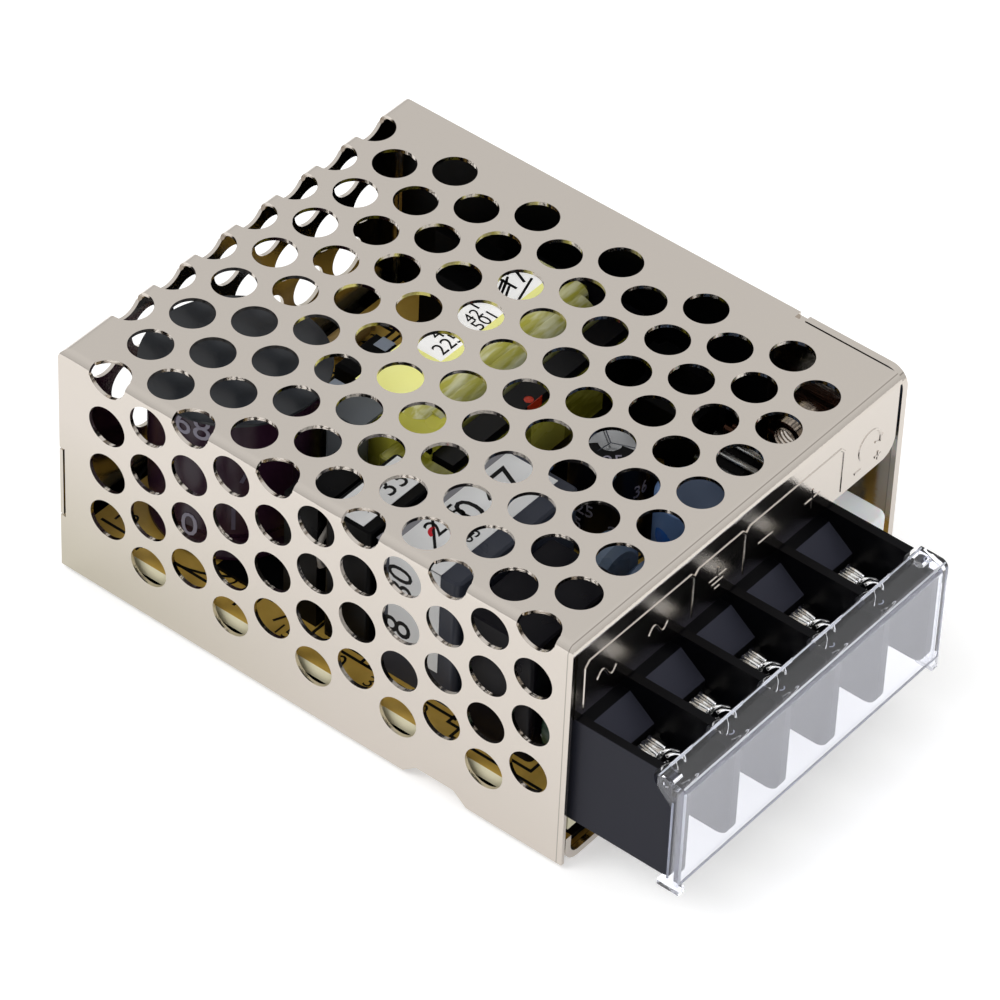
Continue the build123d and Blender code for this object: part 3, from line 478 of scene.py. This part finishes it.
# %% [markdown]
# Fine detail rides on the frame. Small helpers make it: a mesh from points and faces, a flat
# slab, a ridge or ink line along a path, a round wire along a path, and printed numbers. Print
# is made of plain numbers and symbols, raised by a few hundredths of a millimetre. Other helpers
# map flat coordinates onto a plane or round a can.

# %% Helpers for fine detail
pieces = []


def piece(name, points, faces, paint, body="supply"):
    """A mesh from points in millimetres, painted, riding on one body of the frame."""
    mesh = bpy.data.meshes.new(name)
    mesh.from_pydata([Vector(p) * MM for p in points], [], faces)
    mesh.validate()
    mesh.materials.append(paint)
    made = bpy.data.objects.new(name, mesh)
    scene.collection.objects.link(made)
    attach(made, body)
    pieces.append(made)
    return made


def slab(name, low, high, paint, body="supply"):
    """A flat box between two corners."""
    points = [(x, y, z) for x in (low[0], high[0]) for y in (low[1], high[1])
              for z in (low[2], high[2])]
    faces = [(0, 1, 3, 2), (4, 6, 7, 5), (0, 4, 5, 1), (2, 3, 7, 6), (0, 2, 6, 4), (1, 5, 7, 3)]
    return piece(name, points, faces, paint, body)


def strokes(name, paths, width, height, place, paint):
    """Lines of one width along paths (u, v). Place maps (u, v, lift) to a point."""
    points, faces = [], []
    for path in paths:
        closed = path[0] == path[-1]
        nodes_2d = path[:-1] if closed else path
        count = len(nodes_2d)
        start = len(points)
        for index, (u, v) in enumerate(nodes_2d):
            before = nodes_2d[index - 1] if closed or index else None
            after = nodes_2d[(index + 1) % count] if closed or index + 1 < count else None
            into = Vector((u - before[0], v - before[1])).normalized() if before else None
            out = Vector((after[0] - u, after[1] - v)).normalized() if after else None
            along = (into + out).normalized() if into and out else (into or out)
            side = Vector((-along.y, along.x))
            reach = 1 / max(0.5, abs(side.dot(Vector((-out.y, out.x))))) if into and out else 1
            for across, lift in ((-0.5, 0), (-0.25, height), (0.25, height), (0.5, 0)):
                shift = side * across * width * reach
                points.append(place(u + shift.x, v + shift.y, lift))
        for index in range(count if closed else count - 1):
            a = start + index * 4
            b = start + (index + 1) % count * 4
            faces += [(a + k, b + k, b + k + 1, a + k + 1) for k in range(3)]
        if not closed:
            last = start + (count - 1) * 4
            faces += [(start, start + 1, start + 2, start + 3),
                      (last + 3, last + 2, last + 1, last)]
    return piece(name, points, faces, paint)


def smooth(made):
    for face in made.data.polygons:
        face.use_smooth = True
    return made


def wire(name, path, radius, paint, body="supply", sides=10, closed=False):
    """A round wire along points in millimetres."""
    spots = [Vector(p) for p in path]
    count = len(spots)
    points, faces = [], []
    for index, spot in enumerate(spots):
        before = spots[index - 1] if closed or index else spot
        after = spots[(index + 1) % count] if closed or index + 1 < count else spot
        along = (after - before).normalized()
        guess = Vector((0, 0, 1)) if abs(along.z) < 0.9 else Vector((1, 0, 0))
        one = along.cross(guess).normalized()
        two = along.cross(one)
        for step in range(sides):
            angle = 2 * math.pi * step / sides
            points.append(spot + (one * math.cos(angle) + two * math.sin(angle)) * radius)
    for index in range(count if closed else count - 1):
        a, b = index * sides, (index + 1) % count * sides
        faces += [(a + k, a + (k + 1) % sides, b + (k + 1) % sides, b + k)
                  for k in range(sides)]
    if not closed:
        last = (count - 1) * sides
        faces += [tuple(reversed(range(sides))), tuple(range(last, last + sides))]
    return smooth(piece(name, points, faces, paint, body))


def digits(name, text, size, place, paint, thick=0.03):
    """Plain printed numbers. Place maps (u, v, lift) to a point in millimetres."""
    curve = bpy.data.curves.new(name, "FONT")
    curve.body = text
    curve.size = size * 1.4
    curve.align_x = "CENTER"
    curve.align_y = "CENTER"
    curve.extrude = thick / 2
    curve.resolution_u = 3
    holder = bpy.data.objects.new(name, curve)
    scene.collection.objects.link(holder)
    bpy.context.view_layer.update()
    shape = holder.evaluated_get(bpy.context.evaluated_depsgraph_get()).to_mesh()
    points = [place(v.co.x, v.co.y, v.co.z + thick / 2) for v in shape.vertices]
    faces = [tuple(f.vertices) for f in shape.polygons]
    made = piece(name, points, faces, paint)
    bpy.data.objects.remove(holder)
    return made


def flat_on(origin, u_axis, v_axis, lift_axis):
    """Maps (u, v, lift) onto a plane through origin."""
    o, u0, v0, n0 = Vector(origin), Vector(u_axis), Vector(v_axis), Vector(lift_axis)
    return lambda u, v, lift: o + u0 * u + v0 * v + n0 * lift


def round_can(centre, radius, height, start):
    """Maps (u, v, lift) onto a standing cylinder, u going round from the angle start."""
    def place(u, v, lift):
        angle = start + u / radius
        reach = radius + lift
        return Vector((centre[0] + reach * math.cos(angle), centre[1] + reach * math.sin(angle),
                       height + v))
    return place


def corners(node):
    """A node's low and high corners in millimetres."""
    low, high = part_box(node)
    return low / MM, high / MM


def standing(node):
    """The axis and the radius of a standing can, in millimetres."""
    low, high = corners(node)
    return ((low.x + high.x) / 2, (low.y + high.y) / 2), (high.x - low.x) / 2


def arc(centre, radius, start, end, steps=16):
    """Points on an arc between two angles in degrees."""
    return [(centre[0] + radius * math.cos(math.radians(start + (end - start) * k / steps)),
             centre[1] + radius * math.sin(math.radians(start + (end - start) * k / steps)))
            for k in range(steps + 1)]


def rectangle(low, high):
    return [low, (high[0], low[1]), high, (low[0], high[1]), low]


def shifted(place, u0, v0):
    """The same mapping with its origin moved to (u0, v0)."""
    return lambda u, v, lift: place(u + u0, v + v0, lift)


# %% [markdown]
# The front flange is stamped: a frame round each group of terminals, and one mark over each
# pole. Two poles take the mains (a wave), one the earth (its symbol), two the direct current
# (minus and plus), and an arc with an arrow marks the adjuster. The ridges catch thin bright
# lines in the mirror of the nickel.

# %% Stamped marks on the front flange
block_high = corners("terminal_block")[1]
face_x = corners("perforated_cover")[1].x
flange = flat_on((face_x, 0, 0), (0, 1, 0), (0, 0, 1), (1, 0, 0))
pole_y = [(corners(f"terminal_screw_{n}")[0].y + corners(f"terminal_screw_{n}")[1].y) / 2
          for n in range(1, 6)]
frame_top, frame_low, bevel = 25.0, 19.3, 0.6
walls = [-23.5, -7.4, 0.4, 15.6]
frames = []
for left_y, right_y in zip(walls, walls[1:]):
    path = [(left_y, frame_top - bevel), (left_y + bevel, frame_top),
            (right_y - bevel, frame_top), (right_y, frame_top - bevel), (right_y, frame_low)]
    frames.append([(left_y, frame_low)] + path if left_y == walls[0] else path)
strokes("stamped_frames", frames, 0.34, 0.09, flange, nickel)

mark_z = 21.6
marks = []
for y in pole_y[:2]:
    marks.append([(y - 1.4 + 2.8 * k / 16, mark_z + 0.75 * math.sin(2 * math.pi * k / 16))
                  for k in range(17)])
earth_y = pole_y[2] + 1.2
marks.append([(earth_y, mark_z + 1.5), (earth_y, mark_z + 0.3)])
for rise, half in ((0.3, 1.3), (-0.4, 0.85), (-1.1, 0.4)):
    marks.append([(earth_y - half, mark_z + rise), (earth_y + half, mark_z + rise)])
marks.append([(pole_y[3] - 0.2, mark_z), (pole_y[3] + 2.0, mark_z)])
marks.append([(pole_y[4] - 0.6, mark_z), (pole_y[4] + 1.8, mark_z)])
marks.append([(pole_y[4] + 0.6, mark_z - 1.2), (pole_y[4] + 0.6, mark_z + 1.2)])
dial = arc((19.9, 22.3), 1.7, 215, -20)
tip = dial[-1]
marks.append(dial)
marks.append([(tip[0] - 0.75, tip[1] + 0.35), tip, (tip[0] + 0.45, tip[1] + 0.75)])
for y, cross in ((18.2, False), (21.4, True)):
    marks.append([(y - 0.5, 20.0), (y + 0.5, 20.0)])
    if cross:
        marks.append([(y, 19.5), (y, 20.5)])
strokes("stamped_marks", marks, 0.30, 0.08, flange, nickel)
print("stamped paths", len(frames) + len(marks))

# %% [markdown]
# Terminal fittings. On the real block each clamp carries a small serrated lug above the screw,
# and the rolled rim of the screw head catches the light. Half-round ridges give that sparkle,
# because some part of each one always mirrors the sky.

# %% Serrated lugs and screw rims
ridge_count, ridge_pitch = 7, 0.53
for number, y in enumerate(pole_y, 1):
    clamp_low, clamp_high = corners(f"wire_clamp_{number}")
    head_low, head_high = corners(f"terminal_screw_{number}")
    top = clamp_high.z
    slab(f"lug_{number}", (clamp_low.x, y - 2.3, top), (clamp_low.x + 1.9, y + 1.2, top + 1.1),
         terminal_metal, f"clamp_{number}")
    for step in range(ridge_count):
        across = y - 2.15 + ridge_pitch * step
        rise = top + 1.2 - 0.14 * (step % 2)
        tilt = random.uniform(-0.12, 0.12)
        wire(f"lug_ridge_{number}_{step}", [(clamp_low.x + 0.05, across - tilt, rise),
                                            (clamp_low.x + 2.0, across + tilt, rise - 0.2)],
             random.uniform(0.2, 0.27), terminal_metal, f"clamp_{number}", sides=8)
    for step, (x, reach) in enumerate(((37.6, 1.5), (38.1, 1.3))):
        curl = [(x + 0.15 * k, y + 1.0 + v, top - 0.6 + w)
                for k, (v, w) in enumerate(arc((0, 0), reach, 110, -20, 7))]
        wire(f"curl_{number}_{step}", curl, 0.17, terminal_metal, f"clamp_{number}", sides=8)
    middle_z = (head_low.z + head_high.z) / 2
    rims = ((head_high.x - 0.2, 2.5, 0.2), (head_low.x + 6.75, 2.45, 0.24),
            (head_high.x, 1.1, 0.14))
    for step, (x, reach, tube) in enumerate(rims):
        ring = [(x, y + reach * math.cos(2 * math.pi * k / 36),
                 middle_z + reach * math.sin(2 * math.pi * k / 36)) for k in range(36)]
        wire(f"screw_rim_{number}_{step}", ring, tube, terminal_metal, f"screw_{number}", sides=8,
             closed=True)

# %% [markdown]
# The lid is clear, so what the eye finds of it is its polished edges, drawn as painted highlights:
# thin pale lines along the bar and the panel, and small pale rings where the hinge pins and the clips
# sit.

# %% Edges of the clear lid
# Painted highlights: opaque pale wires stand in for the light caught on the clear lid's edges.
painted_edge_highlight = moulded("clear_edge_painted_highlight", "D4D7DE", 0.2)
painted_soft_edge_highlight = moulded("soft_clear_edge_painted_highlight", "A4A8B8", 0.3)
lid_low, lid_high = corners("terminal_lid")
near_y, far_y = lid_low.y + 0.16, lid_high.y - 0.16
bar_back, bar_front = lid_low.x + 0.14, lid_high.x - 0.3
back_z, front_z = lid_high.z - 0.12, lid_high.z - 0.24
face_x, inner_x = lid_high.x - 0.12, lid_high.x - 1.4
foot_z, head_z = 6.3, 17.9
for name, start, end, paint, reach in (
        ("back", (bar_back, near_y, back_z), (bar_back, far_y, back_z), painted_edge_highlight, 0.1),
        ("front", (bar_front, near_y, front_z), (bar_front, far_y, front_z), painted_edge_highlight, 0.1),
        ("left", (face_x, near_y, foot_z), (face_x, near_y, head_z), painted_edge_highlight, 0.1),
        ("left_2", (inner_x, near_y, foot_z), (inner_x, near_y, 16.0), painted_soft_edge_highlight, 0.12),
        ("right", (face_x, far_y, foot_z), (face_x, far_y, head_z), painted_soft_edge_highlight, 0.1),
        ("low", (face_x, near_y, 6.32), (face_x, far_y, 6.32), painted_soft_edge_highlight, 0.1)):
    wire(f"lid_edge_{name}", [start, end], reach, paint, "lid", sides=8)
wall_y = [(a + b) / 2 for a, b in zip(pole_y, pole_y[1:])]
for index, y in enumerate(wall_y + [far_y - 0.9]):
    x = lid_low.x + 1.25 + 0.3
    start, end = (0, 360) if index == len(wall_y) else (-70, 70)
    path = [(u, v, lid_high.z - 0.1) for u, v in arc((x, y), 0.36, start, end)]
    wire(f"lid_clip_{index}", path, 0.06, painted_soft_edge_highlight, "lid", sides=6)
# Painted highlight: a thin grey line along the top edge of each barrier wall.
painted_wall_highlight = moulded("dark_edge_painted_highlight", "4A4A52", 0.3, shine=0.2)
wall_z = block_high.z - 0.06
for index, y in enumerate(wall_y + [block_high.y - 0.5]):
    wire(f"wall_edge_{index}", [(32.0, y - 0.44, wall_z), (40.6, y - 0.44, wall_z)], 0.06,
         painted_wall_highlight, sides=6)

# %% [markdown]
# Labels. Real ones are white paper or film with black print, cut from a roll and pressed on.
# They lie on the film capacitor, folded down its side, on the line choke and on the transformer,
# where a border of bright yellow tape shows round the label. The numbers are plain.

# %% Labels and print
film_low, film_high = corners("film_capacitor")
sheet, ink = 0.06, 0.03
slab("film_label_top", (5.9, film_low.y - sheet, film_high.z), (12.0, -3.4, film_high.z + sheet),
     paper_white)
slab("film_label_side", (5.9, film_low.y - sheet, 9.5), (12.0, film_low.y, film_high.z + sheet),
     paper_white)
slab("film_border", (film_low.x + 0.2, film_low.y, film_high.z), (5.9, -3.4, film_high.z + ink),
     moulded("grey_border", "8A8A90", 0.4, shine=0.3))
top_print = flat_on((0, 0, film_high.z + sheet), (0, 1, 0), (-1, 0, 0), (0, 0, 1))
side_print = flat_on((0, film_low.y - sheet, 0), (0, 0, 1), (-1, 0, 0), (0, -1, 0))
for name, text, size, u, v in (("film_value", "0.47", 3.4, -9.2, -8.6),
                               ("film_rating", "275", 2.2, -14.6, -7.6),
                               ("film_rating_2", "105", 1.5, -15.2, -10.6)):
    digits(name, text, size, shifted(top_print, u, v), print_black)
strokes("film_red_mark", [arc((-16.4, -8.0), 0.7, 60, 180, 10)], 0.4, ink, top_print, print_red)
strokes("film_line", [[(-19.8, -10.6), (-14.2, -10.6)], [(-18.6, -9.6), (-15.4, -6.6)]], 0.3, ink,
        top_print, print_black)
digits("film_side_value", "80", 3.0, shifted(side_print, 18.2, -7.4), print_black)
digits("film_side_value_2", "8", 3.4, shifted(side_print, 12.4, -7.2), print_black)

choke_low, choke_high = corners("line_choke")
slab("choke_label", (choke_low.x + 0.5, choke_low.y + 0.4, choke_high.z),
     (2.3, choke_high.y - 0.4, choke_high.z + sheet), paper_white)
choke_print = flat_on((0, 0, choke_high.z + sheet), (0, 1, 0), (-1, 0, 0), (0, 0, 1))
digits("choke_value", "33", 2.4, shifted(choke_print, -14.0, -0.6), print_black)
digits("choke_value_2", "2", 2.0, shifted(choke_print, -18.0, -0.6), print_black)

label_low, label_high = corners("transformer_label")
label_top = label_low.z + 0.08
# Label film with a painted glow: it looks whiter than what lies round it.
glow_painted_label = moulded("label_film_painted_glow", "FFFFFF", 0.45, Emission_Color=(1, 1, 1, 1),
                       Emission_Strength=0.32)
sheet_label = slab("label_sheet", (label_low.x, 2.4, label_low.z),
                   (label_high.x - 0.8, label_high.y - 0.8, label_top), glow_painted_label)
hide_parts("transformer_label")
slab("painted_glow_tape_strip", (label_low.x - 0.6, label_low.y - 2.8, label_low.z),
     (label_high.x, 2.4, label_top), glow_painted_tape)
tape_end = moulded("olive_end_tape", "C9C548", 0.25, 2.0, 0.02)
slab("end_tape", (-9.9, -6.95, 7.0), (-0.6, -6.65, 21.3), tape_end)
slab("end_tape_top", (-7.0, -6.95, 20.2), (-0.6, -2.9, 21.3), tape_end)
slab("label_border", (label_high.x - 0.8, 2.4, label_low.z),
     (label_high.x, label_high.y, label_top), glow_painted_tape)
slab("label_border_2", (label_low.x, label_high.y - 0.8, label_low.z),
     (label_high.x - 0.8, label_high.y, label_top), glow_painted_tape)
label_print = flat_on((0, 0, label_top), (0, 1, 0), (-1, 0, 0), (0, 0, 1))
middle_x = (label_low.x + label_high.x) / 2
for name, text, size, y, dx in (("label_value", "225", 1.7, 4.9, 0.5),
                                ("label_value_2", "4", 1.6, 5.2, -1.2),
                                ("label_value_3", "501", 1.5, 9.9, 1.0),
                                ("label_value_4", "42", 1.4, 9.6, -0.3),
                                ("label_value_5", "1 1", 1.7, 11.8, -1.3),
                                ("label_value_6", "17", 2.3, 16.4, -0.7)):
    digits(name, text, size, shifted(label_print, y, -middle_x - dx), print_black)
strokes("label_square", [[(13.9, -middle_x + 0.3), (15.9, -middle_x + 1.2)],
                         [(13.6, -middle_x + 0.6), (15.8, -middle_x + 1.6)],
                         [(13.5, -middle_x + 0.1), (16.4, -middle_x + 1.5)],
                         [(13.4, -middle_x - 0.5), (15.4, -middle_x + 0.5)],
                         [(13.0, -middle_x - 1.9), (17.8, -middle_x - 0.4)]], 0.28, ink,
        label_print, print_black)

# %% [markdown]
# The large can carries big pale numbers round its sleeve. Small plain numbers stand on the
# output capacitors. A drop of red varnish locks the transformer's core.

# %% Print on the cans, varnish drop
lift_off = 0.02
bulk_centre, bulk_radius = standing("bulk_capacitor")
sleeve_radius = bulk_radius - 0.93
# Numbers further round the can take the darker print, as painted shade.
for name, text, z, start in (("bulk_print_1", "68", 22.6, -78), ("bulk_print_2", "0", 9.8, -80),
                             ("bulk_print_3", "1", 11.6, -50), ("bulk_print_4", "7", 17.6, -42)):
    digits(name, text, 2.9, round_can(bulk_centre, sleeve_radius + lift_off, z, math.radians(start)),
           print_painted_shade if start > -60 else print_lilac)
cap_middle, cap_radius = standing("output_capacitor_1")
for value, start in (("25", -68), ("36", -2)):
    for step, z in enumerate((13.9, 11.6, 9.4)):
        digits(f"output_capacitor_1_print_{value}_{step}", value, 1.5,
               round_can(cap_middle, cap_radius + lift_off, z, math.radians(start - 18 * step)),
               print_lilac)
core_high = corners("transformer_core")[1]


def drop(name, centre, radius, height, paint):
    """A round drop that has set on a flat top."""
    rings, around = 5, 16
    points = [(centre[0], centre[1], centre[2] + height)]
    for ring in range(1, rings + 1):
        fall = ring / rings
        for step in range(around):
            angle = 2 * math.pi * step / around
            points.append((centre[0] + radius * fall * math.cos(angle),
                           centre[1] + radius * fall * math.sin(angle),
                           centre[2] + height * (1 - fall ** 2)))
    faces = [(0, 1 + k, 1 + (k + 1) % around) for k in range(around)]
    for ring in range(rings - 1):
        a, b = 1 + ring * around, 1 + (ring + 1) * around
        faces += [(a + k, b + k, b + (k + 1) % around, a + (k + 1) % around)
                  for k in range(around)]
    return smooth(piece(name, points, faces, paint))


drop("varnish_drop", (1.35, 5.5, core_high.z), 0.5, 0.15, varnish_red)
slab("varnish_run", (core_high.x, 4.6, 18.7), (core_high.x + 0.05, 6.8, 20.1), varnish_red)

# %% [markdown]
# Small things seen through single holes: the vent lines pressed into one can's top, the marks on
# two chips, black patches of painted shade on the board beside tall parts, a blue spot on one
# can's sleeve, painted light and shade on the core's tape, a black strip in the rear corner, and a
# boxed capacitor beside the line choke.

# %% Small parts and marks
cap_top = flat_on((*cap_middle, corners("output_capacitor_1")[1].z), (1, 0, 0), (0, 1, 0),
                  (0, 0, 1))
strokes("can_vent", [[(0, 0), (2.6 * math.cos(a), 2.6 * math.sin(a))] for a in (0.4, 2.5, 4.6)],
        0.12, 0.02, cap_top, box_slate)
strokes("can_rim_band", [arc((0, 0), 2.5, 225, 375, 18)], 2.6, 0.02, cap_top, print_black)


def along_rim(u, v, lift):
    """On the can's top, turned to follow the rim band."""
    return cap_top(1.9 - v * 0.7 + u * 0.7, -1.9 + u * 0.7 + v * 0.7, lift + ink)


digits("can_rim_value", "25", 1.5, along_rim, print_lilac)
# Laser marked epoxy: a pale grey patch on the black package.
chip_grey = moulded("pale_chip_mark", "A9B4C6", 0.4)
for name, node, low, high in (("chip_mark", "controller_chip", (-22.6, 11.1), (-21.0, 12.7)),
                              ("bridge_mark", "bridge_rectifier", (-22.3, 3.5), (-20.9, 4.9))):
    top = corners(node)[1].z
    slab(name, (*low, top), (*high, top + ink), chip_grey)
board_top_z = corners("circuit_board")[1].z
# Painted shade: flat black patches on the board where it lies in shade beside tall parts.
shade_patch_height = 0.4
for name, low, high in (("board_shade_patch", (-15.6, -20.6), (-8.4, -15.0)),
                        ("board_shade_patch_2", (-0.6, 11.0), (4.6, 14.4)),
                        ("board_shade_patch_3", (6.0, 13.0), (14.6, 18.8)),
                        ("board_shade_patch_4", (10.6, 9.6), (15.0, 13.0))):
    slab(name, (*low, board_top_z), (*high, board_top_z + shade_patch_height), film_black)
# A thin black strip stands upright in the rear corner.
slab("black_corner_strip", (-30.3, 24.6, 4.5), (-28.65, 24.7, 26.0), film_black)
snub_top = corners("snubber_capacitor")[1].z
slab("snubber_top", (-11.4, -9.6, snub_top), (-7.1, -5.2, snub_top + 0.3), grey_box)
# Painted light and shade on the core's tape: a paler olive patch on the near part, a black one on the
# far part.
tape_painted_light = moulded("olive_tape_painted_light", "C6C252", 0.25, 2.0, 0.02)
side_x = corners("core_tape")[1].x
slab("core_tape_painted_light", (side_x, 5.2, 12.0), (side_x + 0.06, 10.6, 18.8), tape_painted_light)
slab("core_tape_painted_shade", (side_x, 16.6, 12.0), (side_x + 0.06, 22.8, 18.8), former_black)
second_middle, second_radius = standing("output_capacitor_2")
strokes("blue_spot", [arc((0, 0), 0.6, 0, 360, 20)], 1.25, 0.02,
        round_can(second_middle, second_radius, 13.4, math.radians(-103)), lacquer_blue)
slab("boxed_capacitor", (-7.2, -20.5, board_top_z), (-3.1, -13.2, 20.9), choke_dark)

# %% [markdown]
# The board's legend is screen printed in black: outlines round the parts, a few long lines and
# plain numbers. Its lines are drawn a little coarser than real ones, so that they show.

# %% Board legend
legend = flat_on((0, 0, board_top_z), (1, 0, 0), (0, 1, 0), (0, 0, 1))
legend_ink = 0.015
outlines = []
for node in ("film_capacitor", "line_choke", "boxed_filter", "suppression_capacitor",
             "bridge_rectifier", "controller_chip", "optocoupler", "snubber_capacitor",
             "start_resistor", "snubber_resistor", "transistor_heatsink"):
    low, high = corners(node)
    outlines.append(rectangle((low.x - 0.7, low.y - 0.7), (high.x + 0.7, high.y + 0.7)))
for node in ("bulk_capacitor", "output_capacitor_1", "output_capacitor_2"):
    middle, radius = standing(node)
    outlines.append(arc(middle, radius + 0.8, 0, 360, 48))
outlines += [[(-28.6, 8.6), (-24.2, 8.6), (-24.2, 23.6)], [(-28.6, -22.6), (-12.0, -22.6)],
             [(-11.0, -23.4), (-11.0, -16.5)], [(-9.6, -23.4), (-9.6, -16.5)],
             [(-28.4, -4.0), (-28.4, 4.0)], [(29.6, -23.4), (16.0, -23.4), (16.0, -18.0)]]
strokes("board_outlines", outlines, 0.34, legend_ink, legend, print_black)
for index, (text, x, y, size) in enumerate((
        ("10", -26.9, -21.0, 1.9), ("4", -23.4, -23.0, 1.8), ("22", -12.6, -21.2, 1.9),
        ("7", -6.4, -21.6, 2.2), ("15", -5.0, -23.0, 1.5), ("0", 1.6, -22.8, 2.0),
        ("9", 11.6, -22.8, 2.0), ("30", 6.2, -22.9, 1.6), ("6", 22.4, -22.9, 1.8),
        ("18", -26.4, 18.2, 2.2), ("21", -25.4, 14.8, 1.8), ("3", -27.8, 2.2, 1.8))):
    digits(f"legend_{index}", text, size, shifted(legend, x, y), print_black, thick=legend_ink)

# %% [markdown]
# Enamelled copper turns on the output choke, three of them pale as a painted highlight, and two
# leads that show through the holes: a grey sleeved wire beside the line choke and a tinned lead
# near the front.

# %% Choke turns and leads
ring_low, ring_high = corners("output_choke")
ring_y = (ring_low.y + ring_high.y) / 2
outer = (ring_high.y - ring_low.y) / 2
ring_z = ring_high.z - outer
inner = outer - 2.4
half = (ring_high.x - ring_low.x) / 2
ring_x = (ring_high.x + ring_low.x) / 2
turn, turn_count = 0.33, 17
for step in range(turn_count):
    angle = math.radians(-65 + 310 * step / (turn_count - 1))
    loop = []
    for x, r in ((-half, inner), (-half, outer), (half, outer), (half, inner)):
        shift = turn if r == outer else -turn
        loop.append((ring_x + x + math.copysign(turn, x), r + shift))
    # Painted highlight: turns 8 to 10 take pale zinc instead of the dark copper.
    wire(f"choke_turn_{step}", [(x, ring_y + r * math.cos(angle), ring_z + r * math.sin(angle))
                                for x, r in loop], turn, zinc if 8 <= step <= 10 else copper,
         sides=8, closed=True)
wire("sleeved_lead", [(-2.6, -19.2, 13.6), (-2.6, -20.6, 14.2), (-2.6, -20.8, 15.6),
                      (-2.6, -20.5, 17.4), (-2.6, -19.4, 18.4)], 0.3, wire_grey)
wire("tinned_lead", [(25.6, -20.2, 5.8), (25.3, -20.6, 8.4), (24.6, -20.5, 9.6)], 0.3, zinc)

# %% [markdown]
# Threads inside the drawn collars of the side wall. A tap cuts them, and from outside a tapped
# hole shows as bright rings. They are drawn at 0.45 mm apart, as in a common small machine screw.

# %% Threads in the side collars
wall_y_outer = corners("chassis")[1].y
thread_radius, thread_pitch, axis_z = 1.22, 0.45, 14.0
for side in (-19.5, 19.5):
    for step in range(6):
        depth = wall_y_outer - 0.4 - step * thread_pitch
        ring = [(side + thread_radius * math.cos(2 * math.pi * k / 24), depth,
                 axis_z + thread_radius * math.sin(2 * math.pi * k / 24)) for k in range(24)]
        wire(f"thread_{'rear' if side < 0 else 'front'}_{step}", ring, 0.09, nickel, sides=6,
             closed=True)
total = sum(len(o.data.polygons) for o in pieces)
print("pieces added", len(pieces), "faces", total)
